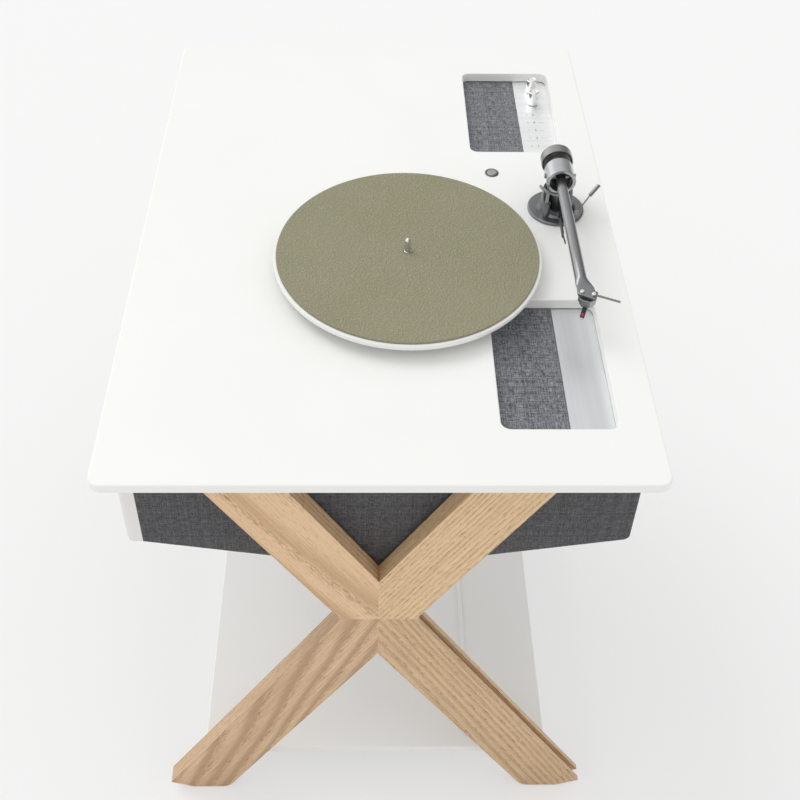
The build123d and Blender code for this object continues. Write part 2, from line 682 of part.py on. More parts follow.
def platter():
    top = PLATTER_Z + PLATTER_THICK
    return turned([(HUB_RADIUS, PLATTER_Z), (PLATTER_RADIUS - 2, PLATTER_Z), (PLATTER_RADIUS - 0.6, PLATTER_Z + 0.6),
                   (PLATTER_RADIUS, PLATTER_Z + 2), (PLATTER_RADIUS, top - 0.8), (PLATTER_RADIUS - 0.8, top),
                   (HUB_RADIUS, top)], DECK_X, DECK_Y)


def platter_mat():
    low = PLATTER_Z + PLATTER_THICK
    bore = HUB_RADIUS + 0.1
    return turned([(bore, low), (MAT_RADIUS, low), (MAT_RADIUS, MAT_TOP - 0.8), (MAT_RADIUS - 0.8, MAT_TOP),
                   (bore, MAT_TOP)], DECK_X, DECK_Y)


def motor():
    """Motor can on a flange under the slab, its neck rising through the slab."""
    bore = 1.55
    return turned([(0, SLAB_Z - 30), (16.5, SLAB_Z - 30), (18, SLAB_Z - 28.5), (18, SLAB_Z - 2), (26, SLAB_Z - 2),
                   (26, SLAB_Z), (6, SLAB_Z), (6, TOP_Z + 1), (bore, TOP_Z + 1), (bore, SLAB_Z - 8),
                   (0, SLAB_Z - 8)], MOTOR_X, MOTOR_Y)


def motor_pulley():
    """Flanged pulley on the motor's shaft."""
    low = BELT_Z - BELT_WIDTH / 2 - 0.6
    high = BELT_Z + BELT_WIDTH / 2 + 0.6
    return turned([(0, SLAB_Z - 6), (1.5, SLAB_Z - 6), (1.5, low - 0.8), (9, low - 0.8), (9, low - 0.3),
                   (PULLEY_RADIUS, low), (PULLEY_RADIUS, high), (9, high + 0.3), (9, high + 0.8), (0, high + 0.8)],
                  MOTOR_X, MOTOR_Y)


def belt_outline(gap):
    """Outline of a loop around wheel and pulley, this far outside their rims."""
    wheel = SUB_PLATTER_RADIUS + gap
    pulley = PULLEY_RADIUS + gap
    reach = sqrt((MOTOR_X - DECK_X) ** 2 + (MOTOR_Y - DECK_Y) ** 2)
    lean = atan2(MOTOR_Y - DECK_Y, MOTOR_X - DECK_X)
    spread = radians(90) - atan2(wheel - pulley, sqrt(reach ** 2 - (wheel - pulley) ** 2))
    corners = []
    for x, y, radius, sides in ((DECK_X, DECK_Y, wheel, (1, -1)), (MOTOR_X, MOTOR_Y, pulley, (-1, 1))):
        for side in sides:
            turn = lean + side * spread
            corners.append((x + radius * cos(turn), y + radius * sin(turn)))
    straight = make_face(Polyline(*corners, close=True))
    return straight + Pos(DECK_X, DECK_Y) * Circle(wheel) + Pos(MOTOR_X, MOTOR_Y) * Circle(pulley)


def drive_belt():
    low = BELT_Z - BELT_WIDTH / 2
    loop = belt_outline(BELT_GAP + BELT_THICK) - belt_outline(BELT_GAP)
    return plate(loop, low, low + BELT_WIDTH)


# Tonearm

def arm_point(side, reach, z):
    """Point beside the arm's axis at a distance from the pivot along the parked arm."""
    return (ARM_X + side, ARM_Y - reach, z)


def arm_frame(reach):
    """Plane across the arm at a distance from the pivot: X to the right, Y up."""
    return Plane(origin=arm_point(0, reach, ARM_Z), x_dir=(1, 0, 0), z_dir=(0, -1, 0))


def head_point(across, ahead):
    """Point on the headshell in the cartridge's own turned directions."""
    turn = radians(HEAD_OFFSET_DEG)
    side = BOLT_SIDE + across * cos(turn) - ahead * sin(turn)
    reach = BOLT_REACH + across * sin(turn) + ahead * cos(turn)
    return side, reach


def head_outline(points):
    """Outline in plan from points given as side and reach."""
    return make_face(Polyline(*[(ARM_X + side, ARM_Y - reach) for side, reach in points], close=True))


def lathe_on_arm(points):
    """Solid of revolution about the arm's axis from reach and radius pairs."""
    profile = make_face(Polyline(*[(radius, reach) for reach, radius in points], close=True))
    body = revolve(Plane.XZ * profile, Axis.Z, 360)
    return arm_frame(0).location * body


def arm_base():
    """Disc, scooped pillar, bearing post, lift guide and lever bracket, in one casting."""
    floor = TOP_Z + ARM_BASE_THICK
    post_top = GIMBAL_BOTTOM - 0.7
    foot = turned([(0, TOP_Z), (ARM_BASE_RADIUS, TOP_Z), (ARM_BASE_RADIUS, floor - 1.2),
                   (ARM_BASE_RADIUS - 1.2, floor), (0, floor)], ARM_X, ARM_Y)
    foot += disc(ARM_X, ARM_Y, TOP_Z - 22, TOP_Z, 9)
    shell = turned([(20.8, floor), (24, floor), (20.5, floor + 6), (18.6, floor + 14), (17.6, post_top - 1),
                    (14.8, post_top - 1), (15.6, floor + 14), (17.3, floor + 6)], ARM_X, ARM_Y)
    near, high = ARM_Y - 60, post_top + 5
    curve = ThreePointArc((ARM_Y - 2, high), (ARM_Y - 10, floor + 11), (ARM_Y - 26, floor + 1.5))
    edges = [curve, Line((ARM_Y - 26, floor + 1.5), (near, floor + 1.5)), Line((near, floor + 1.5), (near, high)),
             Line((near, high), (ARM_Y - 2, high))]
    scoop = Plane.YZ * make_face(edges)
    shell -= Pos(ARM_X - 40, 0, 0) * extrude(scoop, 80)
    body = foot + shell + disc(ARM_X, ARM_Y, floor, post_top, 8)
    guide_x, guide_y = lift_post()
    body += disc(guide_x, guide_y, floor, floor + 20, 4.2)
    body += block(ARM_X + LEVER_X - 6, ARM_X + LEVER_X - 1, ARM_Y + LEVER_Y - 3.5, ARM_Y + LEVER_Y + 3.5,
                  floor, LEVER_Z + 3.5)
    body -= disc(ARM_X, ARM_Y, TOP_Z - 12, post_top, 4.05)
    body -= disc(guide_x, guide_y, floor + 2, floor + 20, 2.06)
    body -= rod((ARM_X + LEVER_X - 7, ARM_Y + LEVER_Y, LEVER_Z), (ARM_X + LEVER_X, ARM_Y + LEVER_Y, LEVER_Z), 2.05)
    return body


def lift_post():
    angle = radians(LIFT_POST_DEG)
    return ARM_X + LIFT_RADIUS * cos(angle), ARM_Y + LIFT_RADIUS * sin(angle)


def lift_bar():
    """Curved bar under the tube on a sliding post."""
    low = TOP_Z + 38.7
    half = 1.5
    start, sweep = 195, 83
    path = CenterArc((0, 0), LIFT_RADIUS + half, start, sweep) + CenterArc((0, 0), LIFT_RADIUS - half, start, sweep)
    ends = [Line(path.edges()[0] @ k, path.edges()[1] @ k) for k in (0, 1)]
    bar = Pos(ARM_X, ARM_Y, low) * extrude(make_face(path.edges() + ends), 2.5)
    x, y = lift_post()
    return fillet(bar.edges().filter_by(Axis.Z), 1.2) + disc(x, y, TOP_Z + 11, low, 2)


def cue_lever():
    """Axle with a stub, a bent wire and a turned grip."""
    x, y = ARM_X + LEVER_X, ARM_Y + LEVER_Y
    knee = (ARM_X + 37, ARM_Y - 11.5, TOP_Z + 30)
    tip = (ARM_X + 48, ARM_Y - 2, TOP_Z + 38)
    lever = rod((x - 7, y, LEVER_Z), (x, y, LEVER_Z), 2)
    lever += rod((x - 0.7, y, LEVER_Z), (x + 5, y, LEVER_Z), 3.2)
    lever += rod((x + 3, y, LEVER_Z), knee, 0.9)
    return lever + rod(knee, tip, 2.4)


def arm_rest():
    """Post with an open cradle: a low lip on the record side and a tall stop on the other."""
    x, y = ARM_X, ARM_Y - REST_REACH
    low = ARM_Z - 11.5
    outline = make_face(Polyline((x - 9, low), (x + 9, low), (x + 9, ARM_Z + 3), (x + 7.4, ARM_Z + 3),
                                 (x + 7.4, ARM_Z - 6), (x + 4.6, low + 2.4), (x - 5, low + 2.4), (x - 7.4, low + 3.2),
                                 (x - 9, low + 3.2), close=True))
    rest = prism(outline, y - 4, y + 4)
    rest = fillet(rest.edges().filter_by(Axis.Y).sort_by(Axis.Z)[0:2], 1.5)
    rest += disc(x + 1, y, TOP_Z, low + 0.5, 3) + disc(x + 1, y, TOP_Z, TOP_Z + 2.5, 7)
    return rest


def arm_gimbal():
    """Open bearing ring across the arm, on the shaft that turns in the post."""
    rear, front = -GIMBAL_HALF, GIMBAL_HALF
    ring = lathe_on_arm([(rear, GIMBAL_BORE), (rear, GIMBAL_RADIUS - 0.8), (rear + 0.8, GIMBAL_RADIUS),
                         (front - 2.6, GIMBAL_RADIUS), (front - 2.2, GIMBAL_RADIUS + 0.6),
                         (front - 0.8, GIMBAL_RADIUS + 0.6), (front, GIMBAL_RADIUS - 0.4), (front, GIMBAL_BORE)])
    neck = disc(ARM_X, ARM_Y, GIMBAL_BOTTOM - 0.4, GIMBAL_BOTTOM + 6, 9)
    shaft = disc(ARM_X, ARM_Y, TOP_Z - 11.5, GIMBAL_BOTTOM, 4)
    inside = lathe_on_arm([(rear - 5, 0), (rear - 5, GIMBAL_BORE), (front + 5, GIMBAL_BORE), (front + 5, 0)])
    body = ring + (neck - inside) + shaft
    for side in (-1, 1):
        body -= rod(arm_point(side * 10, 0, ARM_Z), arm_point(side * 19, 0, ARM_Z), 2.2)
    return body


def gimbal_screws():
    """Two pointed screws that carry the arm's cross shaft."""
    screws = []
    for side in (-1, 1):
        screw = rod(arm_point(side * 8.2, 0, ARM_Z), arm_point(side * 10.4, 0, ARM_Z), 1.2)
        screw += rod(arm_point(side * 10.4, 0, ARM_Z), arm_point(side * 17.4, 0, ARM_Z), 2.2)
        screws.append(screw + rod(arm_point(side * 17, 0, ARM_Z), arm_point(side * 18.6, 0, ARM_Z), 3))
    return group(screws)


def arm_tube():
    """Tapered tube with its cross shaft, rear stub and flat headshell."""
    wall = 1.1
    body = lathe_on_arm([(-12, 0), (-12, 5), (-10, ARM_RADIUS), (176, ARM_RADIUS - 0.3), (176, 0)])
    body += lathe_on_arm([(-44, 0), (-44, STUB_RADIUS - 0.5), (-43.5, STUB_RADIUS), (-12, STUB_RADIUS), (-12, 0)])
    body += rod(arm_point(-9.9, 0, ARM_Z), arm_point(9.9, 0, ARM_Z), 4.5)
    neck_start = arm_frame(175) * Circle(ARM_RADIUS - 0.3)
    neck_end = arm_frame(198) * (Pos(3.2, 0.25) * Ellipse(9.6, HEAD_THICK / 2))
    body += loft([neck_start, neck_end])
    outline = head_outline([(-6.6, 193), (10.8, 193), (12.7, 201), (13.6, 214), (11.6, 219.5), (-6.9, 213)])
    outline = fillet(outline.vertices().sort_by(Axis.Y)[0:4], 2)
    body += plate(outline, HEAD_TOP - HEAD_THICK, HEAD_TOP)
    body -= lathe_on_arm([(12, 0), (12, ARM_RADIUS - wall), (172, ARM_RADIUS - wall - 0.3), (176, 0)])
    for side in (-1, 1):
        body -= rod(arm_point(side * 7.7, 0, ARM_Z), arm_point(side * 9.9, 0, ARM_Z), 1.28)
        spot = head_point(side * BOLT_SPACING / 2, 0)
        body -= rod(arm_point(*spot, HEAD_TOP - HEAD_THICK), arm_point(*spot, HEAD_TOP), 1.3)
    return body


def counterweight():
    """Round weight on the stub, its front face dished."""
    bore = STUB_RADIUS + RUNNING
    front, rear = -WEIGHT_FRONT, -WEIGHT_FRONT - WEIGHT_THICK
    return lathe_on_arm([(front, bore), (front, 8), (front - 2, 8.6), (front - 2, WEIGHT_RADIUS - 3), (front, WEIGHT_RADIUS - 2),
                         (front, WEIGHT_RADIUS - 1), (front - 1, WEIGHT_RADIUS), (rear + 1, WEIGHT_RADIUS),
                         (rear, WEIGHT_RADIUS - 1), (rear, bore)])


def cartridge():
    """Cartridge body hung under the headshell, its nose pointed."""
    high = HEAD_TOP - HEAD_THICK
    nose = [(-8.2, -11), (8.2, -11), (8.2, 4), (5, 7.6), (0, 9.6), (-5, 7.6), (-8.2, 4)]
    slim = [(-6.6, -9.5), (6.6, -9.5), (6.6, 3), (4, 6), (0, 7.6), (-4, 6), (-6.6, 3)]
    upper = plate(head_outline([head_point(*p) for p in nose]), high - 8, high)
    lower = plate(head_outline([head_point(*p) for p in slim]), high - 12, high - 8)
    body = upper + lower
    for side in (-1, 1):
        spot = head_point(side * BOLT_SPACING / 2, 0)
        body -= rod(arm_point(*spot, high - 6), arm_point(*spot, high), 1.25)
    return body


def stylus():
    """Stylus holder under the cartridge, running forward and down to the tip."""
    high = HEAD_TOP - HEAD_THICK - 12
    tip_z = TOP_Z + 29
    side, reach = head_point(0, 0)
    turn = radians(HEAD_OFFSET_DEG)
    ahead = Vector(-sin(turn), -cos(turn), 0)
    across = Vector(cos(turn), -sin(turn), 0)
    start = Vector(ARM_X + side, ARM_Y - reach, 0) - across * 2.4
    flat = Plane(origin=start, x_dir=ahead, z_dir=across)
    up = 1 if flat.y_dir.Z > 0 else -1
    points = [(1, high), (7.5, high), (11.5, high - 2.4), (16, high - 5.6), (15.4, high - 6.5), (9.5, high - 4.6),
              (1, high - 4)]
    body = extrude(flat * make_face(Polyline(*[(v, up * z) for v, z in points], close=True)), 4.8)
    spot = head_point(0, 14.2)
    cone_tip = Plane(origin=arm_point(*spot, high - 5.2), z_dir=(0, 0, -1))
    return body + cone_tip.location * Cone(0.9, 0.15, high - 5.2 - tip_z, align=BASE_UP)


def headshell_bolts():
    bolts = []
    for side in (-1, 1):
        spot = head_point(side * BOLT_SPACING / 2, 0)
        seat = HEAD_TOP + (0.8 if side > 0 else 0)
        shank = rod(arm_point(*spot, HEAD_TOP - HEAD_THICK - 6), arm_point(*spot, seat), 1.25)
        head = rod(arm_point(*spot, seat), arm_point(*spot, seat + 1.8), 2.3)
        head = fillet(head.faces().sort_by(Axis.Z)[-1].edges(), 0.5)
        bolts.append(shank + head - block(ARM_X + spot[0] - 3, ARM_X + spot[0] + 3, ARM_Y - spot[1] - 0.35,
                                          ARM_Y - spot[1] + 0.35, seat + 1.1, seat + 2))
    return group(bolts)


def finger_lift():
    """Strip with an eyelet under the right bolt, curving up at its end."""
    side, reach = head_point(BOLT_SPACING / 2, 0)
    low = HEAD_TOP
    start = Vector(*arm_point(side, reach, 0))
    end = Vector(*arm_point(35, 224.5, 0))
    run = (end - start).normalized()
    length = (end - start).length
    flat = Plane(origin=start, x_dir=run, z_dir=(0, 0, 1))
    outline = flat * (Pos(length / 2, 0) * Rectangle(length, 2.8) + Pos(length, 0) * Circle(1.4) + Circle(3.1))
    strip = Pos(0, 0, low) * extrude(outline, 0.8)
    return strip - rod(arm_point(side, reach, low - 1), arm_point(side, reach, low + 2), 1.25)


def nodes():
    """Every piece by name."""
    pieces = {
        "table_top": table_top(),
        "leg_tenons": leg_tenons(),
        "foot_pads": foot_pads(),
        "leg_spacers": leg_spacers(),
        "leg_bolts": leg_bolts(),
        "shelf": shelf(),
        "shelf_rail": shelf_rail(),
        "shelf_dowels": shelf_dowels(),
        "cabinet_shell": cabinet_shell(),
        "cabinet_lid": cabinet_lid(),
        "front_cloth_panel": end_cloth_panel(-1),
        "rear_cloth_panel": end_cloth_panel(1),
        "side_cloth_wrap": side_cloth_wrap(),
        "side_cover": side_cover(),
        "front_window_cloth": window_cloth(-1),
        "rear_window_cloth": window_cloth(1),
        "front_window_plate": window_plate(-1),
        "control_plate": control_plate(),
        "indicator_lights": indicator_lights(),
        "power_inlet": power_inlet(),
        "line_sockets": line_sockets(),
        "amplifier_board": amplifier_board(),
        "control_pots": control_pots(),
        "volume_knob": knob(VOLUME_Y),
        "source_knob": knob(SOURCE_Y),
        "start_button": start_button(),
        "button_bezel": button_bezel(),
        "bearing_housing": bearing_housing(),
        "spindle": spindle(),
        "sub_platter": sub_platter(),
        "platter": platter(),
        "platter_mat": platter_mat(),
        "motor": motor(),
        "motor_pulley": motor_pulley(),
        "drive_belt": drive_belt(),
        "arm_base": arm_base(),
        "arm_rest": arm_rest(),
        "lift_bar": lift_bar(),
        "cue_lever": cue_lever(),
        "arm_gimbal": arm_gimbal(),
        "gimbal_screws": gimbal_screws(),
        "arm_tube": arm_tube(),
        "counterweight": counterweight(),
        "cartridge": cartridge(),
        "stylus": stylus(),
        "headshell_bolts": headshell_bolts(),
        "finger_lift": finger_lift(),
    }
    pieces.update(leg_arms())
    pieces.update(loudspeakers())
    return pieces


os.makedirs("parts", exist_ok=True)
for name, shape in nodes().items():
    export_step(shape, f"parts/{name}.step")
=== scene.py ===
# %% [markdown]
# A low table with a record player in its top, dressed for a studio picture. The frame that is loaded
# first holds every rigid piece at its true place, in metres, so the steps below only add what a
# drawing office leaves out: the finish of each surface, the cloth, the leather and the printed marks.

# %% Load the frame
import bmesh
import bpy
import math
import numpy as np
from mathutils import Euler, Matrix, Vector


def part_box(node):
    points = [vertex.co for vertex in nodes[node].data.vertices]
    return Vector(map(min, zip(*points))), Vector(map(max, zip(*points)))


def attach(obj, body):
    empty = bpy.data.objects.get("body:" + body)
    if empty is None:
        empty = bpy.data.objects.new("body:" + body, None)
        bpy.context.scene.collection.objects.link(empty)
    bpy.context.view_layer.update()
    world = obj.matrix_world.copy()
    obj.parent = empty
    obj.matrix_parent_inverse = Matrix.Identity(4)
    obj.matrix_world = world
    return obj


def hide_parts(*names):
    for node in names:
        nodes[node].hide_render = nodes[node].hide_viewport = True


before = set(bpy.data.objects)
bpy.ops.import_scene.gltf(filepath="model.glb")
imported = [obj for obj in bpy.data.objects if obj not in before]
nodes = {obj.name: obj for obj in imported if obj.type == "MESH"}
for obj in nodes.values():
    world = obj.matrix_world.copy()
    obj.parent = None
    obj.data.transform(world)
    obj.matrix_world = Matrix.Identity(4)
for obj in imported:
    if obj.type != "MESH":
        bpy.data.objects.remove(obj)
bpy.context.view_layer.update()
MM = 0.001
print("pieces in the frame:", len(nodes))

# %% [markdown]
# The camera stands at the end of the table and at about eye height, looking down on the top. The
# lens is shifted, so that its axis doesn't meet the middle of the picture. A shift moves the picture
# as a crop does and keeps upright lines as they are, where turning the camera would lean them.

# %% Camera
PICTURE_SIDE = 800
LENS_PIXELS = 1164
AXIS_PIXEL = (387.9, 300)
CAMERA_PLACE = (-0.0159, -1.0988, 1.5843)
CAMERA_DOWN = 42.419
CAMERA_LEFT = -1.505
CAMERA_ROLL = 1.191

lens = bpy.data.cameras.new("studio_camera")
lens.sensor_width = 36
lens.lens = LENS_PIXELS / PICTURE_SIDE * lens.sensor_width
lens.shift_x = 0.5 - AXIS_PIXEL[0] / PICTURE_SIDE
lens.shift_y = AXIS_PIXEL[1] / PICTURE_SIDE - 0.5
camera = bpy.data.objects.new("studio_camera", lens)
camera.location = CAMERA_PLACE
turned = Euler((math.radians(90 - CAMERA_DOWN), 0, math.radians(CAMERA_LEFT))).to_matrix()
camera.rotation_euler = (turned @ Matrix.Rotation(math.radians(CAMERA_ROLL), 3, "Z")).to_euler()
bpy.context.scene.collection.objects.link(camera)
bpy.context.scene.camera = camera
bpy.context.scene.view_settings.view_transform = "Standard"
print("lens", round(lens.lens, 2), "mm, shift", round(lens.shift_x, 4), round(lens.shift_y, 4))

# %% [markdown]
# The object is pale on a pale ground, so shape is read from soft shade alone. The sky is nearly even,
# a little dimmer behind the camera, so the near upright faces come out a step darker than the top,
# and one broad sun gives the soft shadows a direction. The camera sees an even white cove.
# Metals see that cove too, dimmer on its right side, because polished metal has no look but its
# surroundings.

# %% Light
SKY_LOW = 0.93
SKY_HIGH = 0.87
SKY_FRONT = 0.82
COVE_SEEN = 0.92
COVE_LEFT = 0.92
COVE_RIGHT = 0.22
COVE_WINDOW = 0.7
WINDOW_LEFT, WINDOW_RIGHT = (-0.85, -0.72), (-0.42, -0.55)
SUN_STRENGTH = 0.72
SUN_SPREAD = 36
SUN_TILT = (-26, -34, 0)

world = bpy.data.worlds.new("white_cove")
bpy.context.scene.world = world
world.use_nodes = True


def fill(tree, node, inputs):
    """Set a shader node's inputs, by name or number, or join them where a value is a socket."""
    for name, value in inputs.items():
        if isinstance(value, bpy.types.NodeSocket):
            tree.links.new(value, node.inputs[name])
        else:
            node.inputs[name].default_value = value
    return node


def put(tree, kind, inputs=None, **settings):
    """Add a shader node with its settings and inputs."""
    made = tree.nodes.new("ShaderNode" + kind)
    for name, value in settings.items():
        setattr(made, name, value)
    return fill(tree, made, inputs or {})


def maths(tree, operation, *values):
    """One step of arithmetic on shader values."""
    return put(tree, "Math", dict(enumerate(values)), operation=operation).outputs[0]


def ramp(tree, value, low, high, to_low=0.0, to_high=1.0):
    """Value eased from to_low at low to to_high at high."""
    inputs = {"Value": value, "From Min": low, "From Max": high, "To Min": to_low, "To Max": to_high}
    return put(tree, "MapRange", inputs, interpolation_type="SMOOTHSTEP").outputs[0]


def choose(tree, share, first, second):
    """Number between first and second."""
    return put(tree, "Mix", {0: share, 2: first, 3: second}).outputs[0]


sky = world.node_tree
sky.nodes.clear()
path = put(sky, "LightPath").outputs
right, back, up = put(sky, "SeparateXYZ", {0: put(sky, "TexCoord").outputs["Generated"]}).outputs
lighting = ramp(sky, up, -0.1, 0.95, SKY_LOW, SKY_HIGH)
lighting = maths(sky, "MULTIPLY", lighting, ramp(sky, back, -0.9, 0.0, SKY_FRONT, 1.0))
mirrored = ramp(sky, right, -0.05, 0.75, COVE_LEFT, COVE_RIGHT)
window = maths(sky, "MULTIPLY", ramp(sky, right, *WINDOW_LEFT), ramp(sky, right, *WINDOW_RIGHT))
mirrored = maths(sky, "MULTIPLY_ADD", window, COVE_WINDOW, mirrored)
sky_level = choose(sky, path["Is Glossy Ray"], lighting, mirrored)
seen = maths(sky, "MAXIMUM", path["Is Camera Ray"], path["Is Transmission Ray"])
sky_level = choose(sky, seen, sky_level, COVE_SEEN)
sky_out = put(sky, "Background", {"Color": (1, 1, 0.995, 1), "Strength": sky_level})
put(sky, "OutputWorld", {"Surface": sky_out.outputs[0]})

sun_lamp = bpy.data.lights.new("window_sun", "SUN")
sun_lamp.energy = SUN_STRENGTH
sun_lamp.angle = math.radians(SUN_SPREAD)
sun = bpy.data.objects.new("window_sun", sun_lamp)
sun.rotation_euler = [math.radians(a) for a in SUN_TILT]
bpy.context.scene.collection.objects.link(sun)
print("sky from", SKY_LOW, "to", SKY_HIGH, "and a sun of", SUN_STRENGTH)

# %% [markdown]
# New pieces are grids: an array of points, so many rows by so many columns, each point worked out by
# a formula. One helper turns any such array into a mesh. It also writes a UV map in metres, so that
# a weave can follow the cloth wherever it bends.

# %% Grids into meshes
def grid_faces(rows, columns, loop=False):
    """Corner numbers of each cell of a grid; a looped grid joins its last column to its first."""
    spans = columns if loop else columns - 1
    row, column = np.meshgrid(np.arange(rows - 1), np.arange(spans), indexing="ij")
    after = (column + 1) % columns
    here, beyond = row * columns, (row + 1) * columns
    return np.stack([here + column, here + after, beyond + after, beyond + column], axis=-1).reshape(-1, 4)


def mesh_from_grid(name, points, uv=None, loop=False, flip=False):
    """Object from points (rows, columns, 3), with an optional UV per point, and smooth shading."""
    rows, columns = points.shape[:2]
    faces = grid_faces(rows, columns, loop)
    if flip:
        faces = faces[:, ::-1]
    mesh = bpy.data.meshes.new(name)
    mesh.vertices.add(rows * columns)
    mesh.vertices.foreach_set("co", points.astype(np.float32).ravel())
    mesh.loops.add(faces.size)
    mesh.loops.foreach_set("vertex_index", faces.astype(np.int32).ravel())
    mesh.polygons.add(len(faces))
    mesh.polygons.foreach_set("loop_start", np.arange(0, faces.size, 4, dtype=np.int32))
    mesh.update(calc_edges=True)
    mesh.shade_smooth()
    if uv is not None:
        layer = mesh.uv_layers.new(name="cloth")
        layer.data.foreach_set("uv", uv.reshape(-1, 2)[faces.ravel()].astype(np.float32).ravel())
    piece = bpy.data.objects.new(name, mesh)
    bpy.context.scene.collection.objects.link(piece)
    print(name, len(faces), "faces")
    return piece


def corners_of(node):
    """Lowest and highest corner of a piece of the frame, as arrays."""
    low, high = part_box(node)
    return np.array(low), np.array(high)


def dress(piece, material, body, slot, *stands_for):
    """Give a new piece its finish and its body, and hide the nodes that it stands for."""
    piece.data.materials.append(material)
    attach(piece, body)
    if stands_for:
        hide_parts(*stands_for)


def eased(count, margin, size, extra=6):
    """Places from 0 to size, even in the middle and closer together within margin of each end."""
    edge = margin * (1 - np.cos(np.linspace(0, np.pi / 2, extra)))
    middle = np.linspace(margin, size - margin, count)[1:-1]
    return np.concatenate([edge, middle, size - edge[::-1]])


# %% [markdown]
# Most finishes here share a few effects: a slow change of tone, a rubbed edge, the lines that a
# brush leaves. Each is a shader group with named inputs, built once. A group only hands out values
# and colours, and every material keeps its own shader.

# %% Helpers for materials
def new_group(name, inputs, outputs):
    """An empty shader group with named sockets: returns its tree, its inputs and its outputs."""
    tree = bpy.data.node_groups.new(name, "ShaderNodeTree")
    for label, kind, value in inputs:
        socket = tree.interface.new_socket(label, in_out="INPUT", socket_type="NodeSocket" + kind)
        if value is not None:
            socket.default_value = value
    for label, kind in outputs:
        tree.interface.new_socket(label, in_out="OUTPUT", socket_type="NodeSocket" + kind)
    return tree, tree.nodes.new("NodeGroupInput").outputs, tree.nodes.new("NodeGroupOutput").inputs


def grouped(tree, group, inputs):
    """A group's copy inside a material, with its own values."""
    made = tree.nodes.new("ShaderNodeGroup")
    made.node_tree = group
    return fill(tree, made, inputs).outputs


def noise(tree, vector, scale, detail=2.0, stretch=(1, 1, 1), rough=0.5):
    """Noise from 0 to 1 whose cells are drawn out along the axes where stretch is small."""
    drawn = put(tree, "Mapping", {"Vector": vector, "Scale": stretch}).outputs[0]
    made = put(tree, "TexNoise", {"Vector": drawn, "Scale": scale, "Detail": detail, "Roughness": rough})
    return made.outputs[0]


def blend(tree, share, first, second, how="MIX"):
    """Colour between first and second, or second laid on first in another way."""
    made = put(tree, "Mix", {0: share, 6: first, 7: second}, data_type="RGBA", blend_type=how)
    return made.outputs[2]


def bump(tree, height, distance, strength=1.0):
    """Normal of a relief this many metres deep."""
    return put(tree, "Bump", {"Height": height, "Distance": distance, "Strength": strength}).outputs[0]


def socket_name(word):
    """The shader's own label of an input, from its plain name."""
    return word.replace("_", " ").title().replace("Ior", "IOR")


def new_material(name, **shader):
    """A material with one Principled shader: returns the material, its tree and the shader."""
    made = bpy.data.materials.new(name)
    made.use_nodes = True
    tree = made.node_tree
    tree.nodes.clear()
    principled = put(tree, "BsdfPrincipled", {socket_name(k): v for k, v in shader.items()})
    put(tree, "OutputMaterial", {"Surface": principled.outputs[0]})
    return made, tree, principled


def feed(tree, principled, **sources):
    """Join values to the shader's inputs."""
    for name, socket in sources.items():
        tree.links.new(socket, principled.inputs[socket_name(name)])


def object_place(tree):
    """The point's own place on the object, in metres."""
    return put(tree, "TexCoord").outputs["Object"]


# %% [markdown]
# Tone drift is what keeps a plain painted surface from looking like plastic in a drawing: the
# colour is never quite the same twice. Brushing is noise drawn out many times in one direction. A
# rubbed edge is found by comparing the true normal with one averaged over a small radius: they
# differ only close to an edge.

# %% Shared effects
drift, given, result = new_group(
    "tone_drift", [("Vector", "Vector", None), ("Scale", "Float", 6.0), ("Fine", "Float", 300.0)],
    [("Slow", "Float"), ("Fine", "Float")])
slow = put(drift, "TexNoise", {"Vector": given["Vector"], "Scale": given["Scale"], "Detail": 3.0})
fine = put(drift, "TexNoise", {"Vector": given["Vector"], "Scale": given["Fine"], "Detail": 2.0})
drift.links.new(slow.outputs[0], result["Slow"])
drift.links.new(fine.outputs[0], result["Fine"])

brushing, given, result = new_group(
    "brushing", [("Vector", "Vector", None), ("Along", "Vector", (1, 60, 60)), ("Scale", "Float", 40.0)],
    [("Lines", "Float"), ("Bands", "Float")])
drawn = put(brushing, "VectorMath", {0: given["Vector"], 1: given["Along"]}, operation="MULTIPLY").outputs[0]
lines = put(brushing, "TexNoise", {"Vector": drawn, "Scale": given["Scale"], "Detail": 4.0, "Roughness": 0.7})
BAND_SHARE = 0.08
band_scale = maths(brushing, "MULTIPLY", given["Scale"], BAND_SHARE)
bands = put(brushing, "TexNoise", {"Vector": drawn, "Scale": band_scale})
brushing.links.new(lines.outputs[0], result["Lines"])
brushing.links.new(bands.outputs[0], result["Bands"])

rubbed_edge, given, result = new_group("rubbed_edge", [("Radius", "Float", 0.0006)], [("Mask", "Float")])
soft = put(rubbed_edge, "Bevel", {"Radius": given["Radius"]}, samples=4).outputs[0]
true = put(rubbed_edge, "NewGeometry").outputs["Normal"]
alike = put(rubbed_edge, "VectorMath", {0: soft, 1: true}, operation="DOT_PRODUCT").outputs["Value"]
rubbed_edge.links.new(ramp(rubbed_edge, alike, 0.98, 0.80), result["Mask"])
print("effects:", drift.name, brushing.name, rubbed_edge.name)

# %% [markdown]
# The top, platter, shelf and side cover are warm white with a dead matt skin. It takes two whites a
# hair apart, mixed by the tone drift, and a relief too shallow to see as bumps, which breaks the
# shine as a fine roller does.

# %% White surfaces
def white_surface(name, light, shade, rough=0.42):
    """Matt paint between two whites, with a faint roller grain."""
    made, tree, shader = new_material(name, specular_ior_level=0.35)
    place = object_place(tree)
    tone = grouped(tree, drift, {"Vector": place, "Scale": 5.0, "Fine": 900.0})
    colour = blend(tree, ramp(tree, tone["Slow"], 0.35, 0.7), (*shade, 1), (*light, 1))
    roughness = ramp(tree, tone["Fine"], 0.3, 0.7, rough - 0.05, rough + 0.06)
    feed(tree, shader, base_color=colour, roughness=roughness, normal=bump(tree, tone["Fine"], 0.00002, 0.6))
    return made


